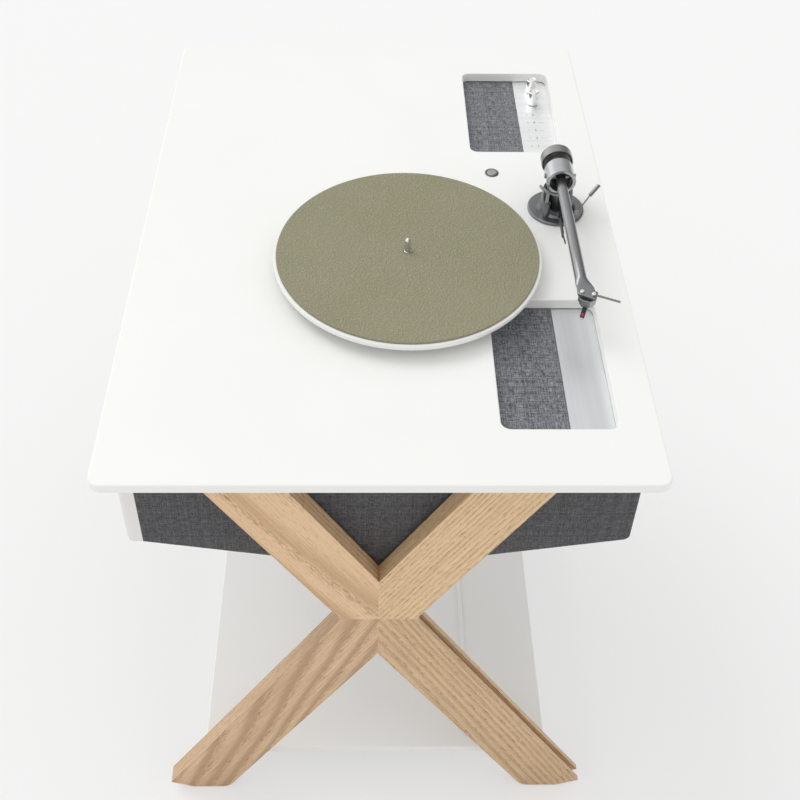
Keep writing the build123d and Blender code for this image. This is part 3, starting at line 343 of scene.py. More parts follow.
slab_white = white_surface("slab_white", (0.935, 0.935, 0.915), (0.92, 0.92, 0.90))
# Painted shade: the side cover's white is a step darker than the top's.
cover_white_painted_shade = white_surface("cover_white_painted_shade", (0.84, 0.825, 0.81), (0.825, 0.81, 0.795))
# Painted light: the shelf's white is a hair paler than the top's, to make up for the shade under the table.
shelf_white_painted_light = white_surface("shelf_white_painted_light", (0.945, 0.945, 0.93), (0.93, 0.93, 0.915))
print("whites:", slab_white.name, cover_white_painted_shade.name, shelf_white_painted_light.name)

# %% [markdown]
# Oak is drawn as a tree grows. Far below the board runs the heart of the trunk. A point's distance
# from it, divided by the width of a year, gives the growth ring, and where the board leans against
# the trunk the rings open into long arches. Spring wood is porous, so its part of each ring carries
# hair-fine dark pores, drawn out along the grain. Each arm of the X turns the pattern to its own
# length, so the grain meets in a V at every mitre, and each was sawn from another place in the log.

# %% Oak
oak_grain, given, result = new_group(
    "oak_grain",
    [("Vector", "Vector", None), ("Year", "Float", 0.0035), ("Heart", "Float", 0.08),
     ("Lean", "Float", 0.05), ("Sway", "Float", 0.004), ("Smoke", "Float", 0.3),
     ("Late", "Float", 0.3), ("Pores", "Float", 0.6),
     ("Pale", "Color", (0.66, 0.47, 0.30, 1)), ("Deep", "Color", (0.47, 0.30, 0.17, 1))],
    [("Color", "Color"), ("Height", "Float"), ("Roughness", "Float")])


def oak_rings(tree, source):
    """Ring phase: distance from a leaning heart line, swayed by slow noise, over the year's width."""
    slow_sway = maths(tree, "SUBTRACT", noise(tree, source["Vector"], 7.0, 1.0, (0.5, 1.2, 1.2)), 0.5)
    quick_sway = maths(tree, "SUBTRACT", noise(tree, source["Vector"], 45.0, 2.0, (0.1, 1, 1)), 0.5)
    sway = maths(tree, "MULTIPLY_ADD", quick_sway, 0.15, slow_sway)
    along, across, depth = put(tree, "SeparateXYZ", {0: source["Vector"]}).outputs
    side = maths(tree, "MULTIPLY_ADD", sway, maths(tree, "MULTIPLY", source["Sway"], 4.0), across)
    heart = maths(tree, "MULTIPLY_ADD", along, source["Lean"], maths(tree, "ADD", depth, source["Heart"]))
    squares = maths(tree, "MULTIPLY_ADD", side, side, maths(tree, "MULTIPLY", heart, heart))
    return maths(tree, "DIVIDE", maths(tree, "SQRT", squares), source["Year"])


def oak_pores(tree, source, spring):
    """Hair-fine dark dashes along the grain, dense in the spring part of each ring."""
    long_dashes = noise(tree, source["Vector"], 1700.0, 0.0, (0.035, 1, 1))
    short_dashes = noise(tree, source["Vector"], 2600.0, 0.0, (0.05, 1, 1))
    dashes = maths(tree, "MAXIMUM", long_dashes, short_dashes)
    limit = maths(tree, "MULTIPLY_ADD", spring, -0.16, 0.72)
    sharp = ramp(tree, maths(tree, "SUBTRACT", dashes, limit), 0.0, 0.10)
    return maths(tree, "MULTIPLY", sharp, source["Pores"])


phase = oak_rings(oak_grain, given)
ring = maths(oak_grain, "FRACT", phase)
late = maths(oak_grain, "MULTIPLY", ramp(oak_grain, ring, 0.45, 0.88), ramp(oak_grain, ring, 1.0, 0.90))
spring_part = maths(oak_grain, "MAXIMUM", ramp(oak_grain, ring, 0.30, 0.0), ramp(oak_grain, ring, 0.93, 1.0))
pores = oak_pores(oak_grain, given, spring_part)
year_number = put(oak_grain, "CombineXYZ", {0: maths(oak_grain, "FLOOR", phase)}).outputs[0]
year_tone = noise(oak_grain, year_number, 0.37, 0.0)
fibre = noise(oak_grain, given["Vector"], 1500.0, 2.0, (0.012, 1, 1))
strand = noise(oak_grain, given["Vector"], 700.0, 2.0, (0.016, 1, 1))
smoke = noise(oak_grain, given["Vector"], 26.0, 3.0, (0.14, 1, 1))
tone = maths(oak_grain, "MULTIPLY_ADD", late, given["Late"], maths(oak_grain, "MULTIPLY", year_tone, 0.25))
tone = maths(oak_grain, "MULTIPLY_ADD", smoke, given["Smoke"], tone)
tone = maths(oak_grain, "MULTIPLY_ADD", maths(oak_grain, "SUBTRACT", strand, 0.5), 0.75, tone)
tone = maths(oak_grain, "MULTIPLY_ADD", maths(oak_grain, "SUBTRACT", fibre, 0.5), 0.55, tone)
wood = blend(oak_grain, ramp(oak_grain, tone, 0.0, 0.85), given["Pale"], given["Deep"])
PORE_BROWN = (0.25, 0.135, 0.06, 1)
wood = blend(oak_grain, pores, wood, PORE_BROWN)
relief = maths(oak_grain, "SUBTRACT", maths(oak_grain, "MULTIPLY", fibre, 0.3), pores)
oak_grain.links.new(wood, result["Color"])
oak_grain.links.new(relief, result["Height"])
oak_grain.links.new(maths(oak_grain, "MULTIPLY_ADD", pores, 0.25, 0.46), result["Roughness"])


def oak(name, turn, offset, grain):
    """Oak whose length runs at this angle from +X in the plane of the leg frame."""
    made, tree, shader = new_material(name, specular_ior_level=0.35)
    flat = put(tree, "Mapping", {"Vector": object_place(tree), "Rotation": (math.radians(90), 0, 0)},
               vector_type="TEXTURE").outputs[0]
    laid = put(tree, "Mapping", {"Vector": flat, "Rotation": (0, 0, math.radians(turn)), "Location": offset},
               vector_type="TEXTURE").outputs[0]
    out = grouped(tree, oak_grain, {"Vector": laid, **grain})
    feed(tree, shader, base_color=out["Color"], roughness=out["Roughness"],
         normal=bump(tree, out["Height"], 0.00015, 0.6))
    return made


LEG_SLOPE = 1.70
LEG_ANGLE = math.degrees(math.atan(LEG_SLOPE))
GRAIN_INPUTS = ("Year", "Heart", "Lean", "Sway", "Smoke", "Late", "Pores", "Pale", "Deep")
# The lower arms are given darker pale and deep colours than the upper arms.
ARM_GRAIN = {
    "left_upper": (-LEG_ANGLE, (0.3, 0.02, 0.0), (
        0.0062, 0.10, 0.014, 0.0030, 0.30, 0.42, 0.75, (0.88, 0.62, 0.39, 1), (0.60, 0.38, 0.205, 1))),
    "right_upper": (LEG_ANGLE, (0.1, 0.17, 0.0), (
        0.0024, 0.10, 0.006, 0.0012, 0.25, 0.26, 0.80, (0.87, 0.63, 0.385, 1), (0.60, 0.395, 0.215, 1))),
    "left_lower": (LEG_ANGLE, (-0.35, -0.02, 0.0), (
        0.0040, 0.060, 0.030, 0.0050, 0.50, 0.50, 0.75, (0.83, 0.58, 0.37, 1), (0.50, 0.325, 0.185, 1))),
    "right_lower": (-LEG_ANGLE, (0.2, -0.12, 0.0), (
        0.0021, 0.09, 0.008, 0.0016, 0.30, 0.30, 0.85, (0.78, 0.55, 0.335, 1), (0.47, 0.31, 0.165, 1))),
}
BEECH_GRAIN = {"Year": 0.002, "Pores": 0.2, "Pale": (0.72, 0.5, 0.33, 1), "Deep": (0.6, 0.4, 0.25, 1)}
arm_oak = {}
for arm, (turn, offset, values) in ARM_GRAIN.items():
    arm_oak[arm] = oak("oak_" + arm, turn, offset, dict(zip(GRAIN_INPUTS, values)))
hardwood = oak("beech", 0, (0, 0, 0), BEECH_GRAIN)
print("woods:", *arm_oak, hardwood.name)

# %% [markdown]
# Speaker cloth is a plain weave of mottled grey yarn. Two sine waves, one along each thread
# direction, multiply into a chequer: where it is positive the warp lies on top, elsewhere the weft.
# Each thread gets its own tone, which changes slowly along its length, so the cloth shows short
# streaks both ways, as heather yarn does.

# %% Woven cloth
weave, given, result = new_group(
    "plain_weave",
    [("Vector", "Vector", None), ("Pitch", "Float", 0.0009), ("Dark", "Color", (0.03, 0.03, 0.035, 1)),
     ("Pale", "Color", (0.40, 0.40, 0.42, 1))],
    [("Color", "Color"), ("Height", "Float"), ("Roughness", "Float")])


STREAK = 0.075
WARP_SEED, WEFT_SEED = 3.0, 11.0


def yarn_tone(tree, number, along, seed):
    """Tone of one thread at a place along it: its own shade, with slubs a few threads long."""
    drawn_out = maths(tree, "MULTIPLY", along, STREAK)
    spot = put(tree, "CombineXYZ", {0: number, 1: drawn_out, 2: seed}).outputs[0]
    slubs = put(tree, "TexNoise", {"Vector": spot, "Scale": 1.0, "Detail": 2.0, "Roughness": 0.75}).outputs[0]
    whole = put(tree, "TexWhiteNoise", {"Vector": put(tree, "CombineXYZ", {0: number, 2: seed}).outputs[0]},
                noise_dimensions="3D").outputs[0]
    return maths(tree, "MULTIPLY_ADD", whole, 0.20, maths(tree, "MULTIPLY_ADD", slubs, 1.5, -0.36))


across, along, _ = put(weave, "SeparateXYZ", {0: given["Vector"]}).outputs
column = maths(weave, "DIVIDE", across, given["Pitch"])
row = maths(weave, "DIVIDE", along, given["Pitch"])
wave_across = maths(weave, "SINE", maths(weave, "MULTIPLY", column, math.pi))
wave_along = maths(weave, "SINE", maths(weave, "MULTIPLY", row, math.pi))
chequer = maths(weave, "MULTIPLY", wave_across, wave_along)
warp_on_top = ramp(weave, chequer, -0.12, 0.12)
warp_tone = yarn_tone(weave, maths(weave, "FLOOR", column), row, WARP_SEED)
weft_tone = yarn_tone(weave, maths(weave, "FLOOR", row), column, WEFT_SEED)
yarn = maths(weave, "ADD", maths(weave, "MULTIPLY", warp_on_top, warp_tone),
             maths(weave, "MULTIPLY", maths(weave, "SUBTRACT", 1.0, warp_on_top), weft_tone))
# Painted highlight and shade: each thread is lighter at its crown and darker where it dips beside the next.
crown = maths(weave, "SQRT", maths(weave, "ABSOLUTE", chequer))
hairs = noise(weave, given["Vector"], 2600.0, 2.0)
lit = maths(weave, "MULTIPLY_ADD", crown, 0.22, maths(weave, "MULTIPLY_ADD", hairs, 0.2, yarn))
weave.links.new(blend(weave, ramp(weave, lit, 0.46, 1.12), given["Dark"], given["Pale"]), result["Color"])
weave.links.new(maths(weave, "MULTIPLY_ADD", hairs, 0.25, crown), result["Height"])
weave.links.new(ramp(weave, hairs, 0.2, 0.8, 0.8, 0.98), result["Roughness"])


def cloth(name, dark, pale):
    """Cloth that follows the piece's own UV map, which is in metres."""
    made, tree, shader = new_material(name, sheen_weight=0.25, sheen_roughness=0.6, specular_ior_level=0.15)
    place = put(tree, "UVMap", uv_map="cloth").outputs[0]
    out = grouped(tree, weave, {"Vector": place, "Dark": (*dark, 1), "Pale": (*pale, 1)})
    feed(tree, shader, base_color=out["Color"], roughness=out["Roughness"],
         normal=bump(tree, out["Height"], 0.00025, 0.8))
    return made


window_grey = cloth("window_grey_cloth", (0.018, 0.019, 0.023), (0.42, 0.43, 0.46))
# The body cloth is much darker than the window cloth: partly a darker yarn, and partly painted shade for the
# shade under the top.
body_grey_painted_shade = cloth("body_grey_cloth", (0.005, 0.005, 0.007), (0.165, 0.165, 0.18))
print("cloths:", window_grey.name, body_grey_painted_shade.name)

# %% [markdown]
# The mat is olive leather with a pressed pebble grain. Cells with rounded tops stand close
# together, and the valleys between them are a little darker where the dye gathers.

# %% Leather
LEATHER_DUST = (0.36, 0.34, 0.235, 1)


def pebbled_leather(name, high, low):
    """Cells with rounded tops, bent by noise so that no two pebbles are alike."""
    made, tree, shader = new_material(name, specular_ior_level=0.4)
    place = object_place(tree)
    wander = put(tree, "TexNoise", {"Vector": place, "Scale": 260.0, "Detail": 2.0}).outputs["Color"]
    reach = (2.2 * MM, 2.2 * MM, 2.2 * MM)
    bent = put(tree, "VectorMath", {0: wander, 1: reach, 2: place}, operation="MULTIPLY_ADD").outputs[0]
    cells = put(tree, "TexVoronoi", {"Vector": bent, "Scale": 430.0, "Smoothness": 0.45},
                feature="SMOOTH_F1").outputs[0]
    tone = grouped(tree, drift, {"Vector": place, "Scale": 9.0, "Fine": 1500.0})
    pebble = ramp(tree, cells, 0.75, 0.15)
    relief = maths(tree, "MULTIPLY_ADD", tone["Fine"], 0.25, pebble)
    colour = blend(tree, pebble, (*low, 1), (*high, 1))
    colour = blend(tree, ramp(tree, tone["Slow"], 0.3, 0.75, 0.0, 0.35), colour, LEATHER_DUST)
    roughness = ramp(tree, pebble, 0.0, 1.0, 0.72, 0.5)
    feed(tree, shader, base_color=colour, roughness=roughness, normal=bump(tree, relief, 0.0009, 1.0))
    return made


mat_leather = pebbled_leather("olive_leather", (0.345, 0.325, 0.215), (0.285, 0.268, 0.17))
print("leather:", mat_leather.name)

# %% [markdown]
# The metals differ in how they were finished. The window plates are brushed in one direction and
# then anodised. The knobs and the ring are turned and polished. The tonearm is painted a satin
# grey, which wears to a brighter tone on its edges.

# %% Metals
PIVOT_X, PIVOT_Y, PIVOT_Z = 215.5 * MM, 22 * MM, 761 * MM
RING_BORE = 13.55 * MM
WEIGHT_DISH, WEIGHT_FRONT = 17.9 * MM, 47.6 * MM
ANYWHERE = 1.0
# Near black that paints the shade inside the ring's bore and the counterweight's front dish.
BORE_PAINTED_SHADE = (0.018, 0.018, 0.016, 1)


def brushed_metal(name, colour, along, rough, scale=40.0):
    """Bare metal with fine marks drawn out along the axis whose number is small."""
    made, tree, shader = new_material(name, metallic=1.0)
    place = object_place(tree)
    marks = grouped(tree, brushing, {"Vector": place, "Along": along, "Scale": scale})
    paler = tuple(min(1.0, c * 1.06) for c in colour)
    tint = blend(tree, ramp(tree, marks["Bands"], 0.3, 0.7), (*colour, 1), (*paler, 1))
    roughness = ramp(tree, marks["Lines"], 0.25, 0.75, rough - 0.07, rough + 0.1)
    feed(tree, shader, base_color=tint, roughness=roughness, normal=bump(tree, marks["Lines"], 0.00003, 0.5))
    return made


def near_arm_axis(tree, place, radius, front):
    """1 inside this radius of the tube's axis and nearer than this Y, else 0, at the parked arm."""
    from_pivot = put(tree, "VectorMath", {0: place, 1: (-PIVOT_X, 0.0, -PIVOT_Z)}, operation="ADD").outputs[0]
    across, along, up = put(tree, "SeparateXYZ", {0: from_pivot}).outputs
    flat = put(tree, "CombineXYZ", {0: across, 2: up}).outputs[0]
    reach = put(tree, "VectorMath", {0: flat}, operation="LENGTH").outputs["Value"]
    inside = maths(tree, "LESS_THAN", reach, radius)
    return maths(tree, "MULTIPLY", inside, maths(tree, "LESS_THAN", along, front))


def painted_metal(name, colour, worn, rough, shaded_hollow=None):
    """Satin paint that is worn brighter on its edges, with near-black painted shade inside the hollow that is
    given.
    """
    made, tree, shader = new_material(name, metallic=0.8, coat_weight=0.2, coat_roughness=0.2)
    place = object_place(tree)
    tone = grouped(tree, drift, {"Vector": place, "Scale": 25.0, "Fine": 2200.0})
    edge = grouped(tree, rubbed_edge, {"Radius": 0.0005})["Mask"]
    darker = tuple(c * 0.88 for c in colour)
    base = blend(tree, tone["Slow"], (*darker, 1), (*colour, 1))
    base = blend(tree, maths(tree, "MULTIPLY", edge, 0.55), base, (*worn, 1))
    # Painted shade: the given hollow is coloured near black.
    if shaded_hollow:
        base = blend(tree, near_arm_axis(tree, place, *shaded_hollow), base, BORE_PAINTED_SHADE)
    roughness = ramp(tree, tone["Fine"], 0.3, 0.7, rough - 0.05, rough + 0.08)
    feed(tree, shader, base_color=base, roughness=roughness, normal=bump(tree, tone["Fine"], 0.00001, 0.5))
    return made


window_metal = brushed_metal("window_aluminium", (0.76, 0.78, 0.795), (90, 1, 90), 0.40, 24.0)
plate_metal = brushed_metal("plate_aluminium", (0.88, 0.885, 0.89), (1, 70, 70), 0.5)
knob_metal = brushed_metal("knob_metal", (0.90, 0.90, 0.90), (40, 40, 1), 0.14)
bright_steel = brushed_metal("bright_steel", (0.72, 0.72, 0.73), (20, 20, 20), 0.22)
button_metal = brushed_metal("button_metal", (0.42, 0.42, 0.43), (20, 20, 20), 0.3)
bezel_metal = brushed_metal("bezel_metal", (0.16, 0.16, 0.165), (20, 20, 20), 0.34)
zinc_steel = brushed_metal("zinc_steel", (0.55, 0.55, 0.56), (20, 20, 20), 0.4)
brass = brushed_metal("turned_brass", (0.72, 0.54, 0.28), (30, 30, 3), 0.28)
arm_paint = painted_metal("arm_grey_paint", (0.27, 0.273, 0.28), (0.66, 0.66, 0.67), 0.22)
base_paint = painted_metal("base_grey_paint", (0.20, 0.205, 0.21), (0.6, 0.6, 0.6), 0.30)
ring_paint = painted_metal("ring_silver_paint", (0.50, 0.505, 0.52), (0.85, 0.85, 0.85), 0.2,
                           (RING_BORE, ANYWHERE))
weight_paint = painted_metal("weight_paint", (0.30, 0.30, 0.292), (0.7, 0.7, 0.7), 0.28,
                             (WEIGHT_DISH, WEIGHT_FRONT))
lift_paint = painted_metal("lift_paint", (0.40, 0.405, 0.41), (0.7, 0.7, 0.7), 0.3)
print("plates:", window_metal.name, plate_metal.name, "and arm:", arm_paint.name, ring_paint.name)

# %% [markdown]
# What is left is moulded plastic, rubber, felt and board. They share one recipe, a tone drift and a
# fine grain, with their own colours, because nobody looks at them for long.

# %% Plain finishes
def moulded(name, colour, rough, grain=900.0, depth=0.00003):
    """One colour with its tone drift and a fine grain of this depth in metres."""
    made, tree, shader = new_material(name, specular_ior_level=0.4)
    tone = grouped(tree, drift, {"Vector": object_place(tree), "Scale": 14.0, "Fine": grain})
    darker = tuple(c * 0.82 for c in colour)
    base = blend(tree, tone["Slow"], (*darker, 1), (*colour, 1))
    roughness = ramp(tree, tone["Fine"], 0.3, 0.7, rough - 0.06, rough + 0.06)
    feed(tree, shader, base_color=base, roughness=roughness, normal=bump(tree, tone["Fine"], depth, 0.7))
    return made


black_plastic = moulded("black_plastic", (0.02, 0.02, 0.021), 0.42)
belt_rubber = moulded("belt_rubber", (0.018, 0.018, 0.018), 0.7)
felt = moulded("grey_felt", (0.16, 0.15, 0.14), 0.95, 2500.0, 0.0004)
black_board = moulded("black_board", (0.035, 0.034, 0.033), 0.7, 1400.0, 0.0001)
cone_paper = moulded("cone_paper", (0.05, 0.05, 0.052), 0.85, 1600.0, 0.0001)
ferrite = moulded("ferrite", (0.07, 0.07, 0.075), 0.6, 1200.0, 0.00005)
board_green = moulded("board_green", (0.03, 0.17, 0.07), 0.35)
stylus_plastic = moulded("stylus_plastic", (0.022, 0.02, 0.02), 0.25)
jewel_red = moulded("jewel_red", (0.55, 0.02, 0.07), 0.12)
clear_guard = moulded("clear_guard", (0.62, 0.63, 0.63), 0.1)
light_guide = moulded("light_guide", (0.55, 0.56, 0.57), 0.15)
print("materials so far:", len(bpy.data.materials))

# %% [markdown]
# Every frame node now gets its finish. The arms of the X are matched by the end of their names; the
# rest come from one table, so that a forgotten node stops the script.

# %% Finish of each node
FINISHES = {
    "table_top": slab_white, "platter": slab_white, "side_cover": cover_white_painted_shade,
    "shelf": shelf_white_painted_light, "shelf_rail": slab_white,
    "leg_tenons": hardwood, "shelf_dowels": hardwood, "foot_pads": felt, "leg_spacers": black_plastic,
    "leg_bolts": zinc_steel, "cabinet_shell": black_board, "cabinet_lid": black_board,
    "front_window_plate": window_metal, "control_plate": plate_metal, "indicator_lights": light_guide,
    "power_inlet": black_plastic, "line_sockets": black_plastic, "amplifier_board": board_green,
    "control_pots": black_plastic, "volume_knob": knob_metal, "source_knob": knob_metal,
    "start_button": button_metal, "button_bezel": bezel_metal, "bearing_housing": brass,
    "spindle": bright_steel, "sub_platter": black_plastic, "motor": zinc_steel, "motor_pulley": brass,
    "drive_belt": belt_rubber, "arm_base": base_paint, "arm_rest": black_plastic, "lift_bar": lift_paint,
    "cue_lever": arm_paint, "arm_gimbal": ring_paint, "gimbal_screws": arm_paint, "arm_tube": arm_paint,
    "counterweight": weight_paint, "cartridge": lift_paint, "stylus": stylus_plastic,
    "headshell_bolts": knob_metal, "finger_lift": arm_paint,
    "speaker_baskets": black_plastic, "speaker_cones": cone_paper, "woofer_basket": black_plastic,
    "woofer_cone": cone_paper, "speaker_magnets": ferrite,
    "platter_mat": mat_leather, "front_window_cloth": window_grey, "rear_window_cloth": window_grey,
    "front_cloth_panel": body_grey_painted_shade, "rear_cloth_panel": body_grey_painted_shade, "side_cloth_wrap": body_grey_painted_shade,
}
for name, piece in nodes.items():
    if name.endswith("_leg"):
        finish = arm_oak[name.split("_", 1)[1].removesuffix("_leg")]
    else:
        finish = FINISHES[name]
    piece.data.materials.clear()
    piece.data.materials.append(finish)
print("finished nodes:", len(nodes))

# %% [markdown]
# A sawn oak edge is never left sharp: it is eased with a few strokes of a plane. The eased edge is a
# bevel that works wherever two faces meet at an angle, after the frame's loose triangles are welded
# so that they share their corners. The slab and the shelf have the same soft line in their paint.

# %% Eased edges
EASED_EDGES = {"table_top": 0.9 * MM, "shelf": 0.8 * MM, "shelf_rail": 0.8 * MM}
EASED_OAK = 1.3 * MM
SAME_POINT = 0.001 * MM
for name, piece in nodes.items():
    width = EASED_OAK if name.endswith("_leg") else EASED_EDGES.get(name)
    if width:
        weld = piece.modifiers.new("weld", "WELD")
        weld.merge_threshold = SAME_POINT
        easing = piece.modifiers.new("eased_edges", "BEVEL")
        easing.width, easing.segments, easing.limit_method = width, 2, "ANGLE"
        easing.angle_limit = math.radians(35)
        print("eased", name, round(width / MM, 1), "mm")

# %% [markdown]
# The leather mat is a disc with a cut and slightly rolled edge. A profile of radius and height is
# carried round the spindle. The top isn't dead flat: leather keeps a swell of a tenth of a
# millimetre, which the light picks up.

# %% Leather mat
def leather_mat():
    """Profile carried round: bore wall, top with slow swell, rolled edge, cut side, underside."""
    low, high = corners_of("platter_mat")
    centre, radius = (low + high) / 2, (high[0] - low[0]) / 2
    roll, bore, rings = 1.1 * MM, 4.4 * MM, 60
    turn = np.linspace(0, 2 * np.pi, 360, endpoint=False)
    top_r = np.linspace(bore, radius - roll, rings)
    bend = np.linspace(0, np.pi / 2, 7)[1:]
    edge_r, edge_z = radius - roll + roll * np.sin(bend), high[2] - roll * (1 - np.cos(bend))
    r = np.concatenate([[bore], top_r, edge_r, [radius, bore]])
    z = np.concatenate([[low[2]], np.full(rings, high[2]), edge_z, [low[2], low[2]]])
    ring, angle = np.meshgrid(r, turn, indexing="ij")
    height = np.repeat(z[:, None], len(turn), axis=1)
    swell = 0.05 * MM * (np.sin(3 * angle + 70 * ring) + np.sin(5 * angle - 110 * ring))
    height[1:rings + 1] -= np.abs(swell[1:rings + 1])
    points = np.stack([centre[0] + ring * np.cos(angle), centre[1] + ring * np.sin(angle), height], axis=-1)
    return mesh_from_grid("platter_mat_leather", points, loop=True, flip=True)


dress(leather_mat(), mat_leather, "turntable", "mat_leather", "platter_mat")

# %% [markdown]
# The cloth in each window is stretched over a thin frame, so it is flat in the middle and rolls
# down over the frame's edges. The sheet is a grid whose height falls along a quarter circle near
# its border.

# %% Cloth in the windows
CLOTH_BORDER, FRAME_ROUND = 2.5 * MM, 1.4 * MM
CLOTH_SLACK, CLOTH_SWAY = 0.08 * MM, 0.06 * MM


def rolled_edge(distance, radius):
    """Drop below the flat at a distance from the border, along a quarter circle."""
    inside = np.clip(radius - distance, 0, radius)
    return radius - np.sqrt(radius ** 2 - inside ** 2)


def window_cloth(name, node):
    """Rectangle with rolled borders: height is the top less the quarter-circle drop."""
    low, high = corners_of(node)
    size = high - low
    across, along = eased(40, CLOTH_BORDER, size[0]), eased(100, CLOTH_BORDER, size[1])
    x, y = np.meshgrid(across, along, indexing="ij")
    border = np.minimum(np.minimum(x, size[0] - x), np.minimum(y, size[1] - y))
    sway = CLOTH_SWAY * np.sin(90 * x + 20 * y) * np.sin(60 * y)
    z = high[2] - CLOTH_SLACK - rolled_edge(border, FRAME_ROUND) + sway
    points = np.stack([low[0] + x, low[1] + y, z], axis=-1)
    piece = mesh_from_grid(name, points, uv=np.stack([x, y], axis=-1), flip=True)
    dress(piece, window_grey, "table", "charcoal_cloth", node)


for end in ("front", "rear"):
    window_cloth(end + "_window_weave", end + "_window_cloth")

# %% [markdown]
# The body is dressed in three cuts of cloth. One goes from the lower left edge under the keel and
# up the right side. The other two close the ends and roll over onto the first. Stretched cloth
# still shows the pull of its staples, so its borders waver by a few tenths of a millimetre.

# %% Cloth on the body
BODY_LOW, BODY_HIGH = corners_of("front_cloth_panel")
REAR_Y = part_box("rear_cloth_panel")[1][1]
KEEL_Z = BODY_LOW[2]
SIDE_Z = 533 * MM
CORNER = 8 * MM
BODY_ROLL = 3 * MM
KEEL_SLOPE = (SIDE_Z - KEEL_Z) / BODY_HIGH[0]


def keel_height(x):
    """Height of the keel's surface: a shallow V, softened at its middle and its right corner."""
    soft = np.sqrt(x ** 2 + (5 * MM) ** 2) - 5 * MM
    corner = np.clip((x - (BODY_HIGH[0] - CORNER)) / CORNER, 0, 1)
    return KEEL_Z + KEEL_SLOPE * soft + CORNER * (1 - np.sqrt(1 - corner ** 2))


def body_end(name, node, side):
    """End panel: flat, with its lower and right borders rolled back towards the body."""
    left, right, top = BODY_LOW[0], BODY_HIGH[0], BODY_HIGH[2]
    across = left + (right - left) * np.concatenate([np.linspace(0, 0.94, 150), np.linspace(0.945, 1, 40)])
    share = np.concatenate([1 - np.cos(np.linspace(0, 0.36, 14)), np.linspace(0.08, 1, 60)])
    x, t = np.meshgrid(across, share, indexing="ij")
    bottom = keel_height(x)
    z = bottom + t * (top - bottom)
    border = np.minimum(z - bottom, right - x)
    waver = 0.25 * MM * np.sin(x * 410) * np.sin(x * 97) * np.exp(-border / (6 * MM))
    face = REAR_Y if side > 0 else BODY_LOW[1]
    y = face - side * (rolled_edge(border, BODY_ROLL) + np.abs(waver))
    points = np.stack([x, y, z], axis=-1)
    piece = mesh_from_grid(name, points, uv=np.stack([x, z], axis=-1), flip=side < 0)
    dress(piece, body_grey_painted_shade, "table", "charcoal_cloth", node)


def body_wrap():
    """Path of the section, under the keel and up the right side, carried along the body."""
    left, right, top = BODY_LOW[0], BODY_HIGH[0], BODY_HIGH[2]
    flat = right - CORNER
    bend = np.linspace(0, np.pi / 2, 12)[1:]
    under = np.concatenate([np.linspace(left, flat, 140), flat + CORNER * np.sin(bend)])
    path = np.stack([under, keel_height(under)], axis=-1)
    rise = np.linspace(path[-1, 1], top, 40)[1:]
    path = np.concatenate([path, np.stack([np.full(39, right), rise], axis=-1)])
    run = np.concatenate([[0], np.cumsum(np.hypot(*np.diff(path, axis=0).T))])
    length = np.linspace(BODY_LOW[1] + BODY_ROLL, REAR_Y - BODY_ROLL, 200)
    index, y = np.meshgrid(np.arange(len(path)), length, indexing="ij")
    points = np.stack([path[index, 0], y, path[index, 1]], axis=-1)
    piece = mesh_from_grid("body_cloth_wrap", points, uv=np.stack([run[index], y], axis=-1))
    dress(piece, body_grey_painted_shade, "table", "charcoal_cloth", "side_cloth_wrap")


for end, side in (("front", -1), ("rear", 1)):
    body_end("body_cloth_" + end, end + "_cloth_panel", side)
body_wrap()

# %% [markdown]
# A few small pieces are too fine for the drawing office. They are cut from outlines: the walls are
# the outline carried up, and the two ends are closed. A small bevel breaks each edge, because a
# real stamped or moulded edge always catches a thread of light.

# %% Cut outlines
def cut_outline(outline, low, high):
    """Corners and faces of a prism: the outline at its low height, then at its high one."""
    outline = np.asarray(outline, dtype=float)
    count = len(outline)
    here = np.arange(count)
    after = (here + 1) % count
    corners = np.concatenate([np.column_stack([outline, np.full(count, z)]) for z in (low, high)])
    walls = np.column_stack([here, after, after + count, here + count])
    return corners, walls.tolist() + [here[::-1].tolist(), (here + count).tolist()]


def join_pieces(name, pieces, material, body, slot, *stands_for, bevel=0.25 * MM):
    """One mesh from several (corners, faces) pairs, with a bevel, put on its body."""
    corners, faces, start = [], [], 0
    for points, cells in pieces:
        corners.append(points)
        faces += [[start + int(corner) for corner in cell] for cell in cells]
        start += len(points)
    mesh = bpy.data.meshes.new(name)
    mesh.from_pydata(np.concatenate(corners).tolist(), [], faces)
    mesh.update()
    sort = bmesh.new()
    sort.from_mesh(mesh)
    bmesh.ops.recalc_face_normals(sort, faces=sort.faces)
    sort.to_mesh(mesh)
    sort.free()
    piece = bpy.data.objects.new(name, mesh)
    bpy.context.scene.collection.objects.link(piece)
    if bevel:
        rounding = piece.modifiers.new("broken_edges", "BEVEL")
        rounding.width, rounding.segments, rounding.limit_method = bevel, 2, "ANGLE"
    dress(piece, material, body, slot, *stands_for)
    print(name, len(faces), "faces")


def beside_arm(points):
    """Places in plan from side and reach in millimetres, measured from the arm's pivot."""
    side, reach = np.asarray(points, dtype=float).T * MM
    return np.column_stack([PIVOT_X + side, PIVOT_Y - reach])


def round_outline(side, reach, radius, count=32):
    """Circle in plan about a side and a reach."""
    turn = np.linspace(0, 2 * np.pi, count, endpoint=False)
    return beside_arm(np.column_stack([side + radius * np.cos(turn), reach + radius * np.sin(turn)]))


def turned_up(outline, near, far):
    """Prism along Y from an outline given as side and height in millimetres."""
    corners, faces = cut_outline(np.asarray(outline, dtype=float) * MM, near * MM, far * MM)
    return np.column_stack([PIVOT_X + corners[:, 0], PIVOT_Y - corners[:, 2], corners[:, 1]]), faces


# %% [markdown]
# The rest that the arm parks on is a blackened bracket. A strip runs forward from a short post on
# the base, under the tube, and ends in a saddle with a tall stop on one side. On the record side a
# thin slanting blade reaches on along the tube, and guides it into the saddle.

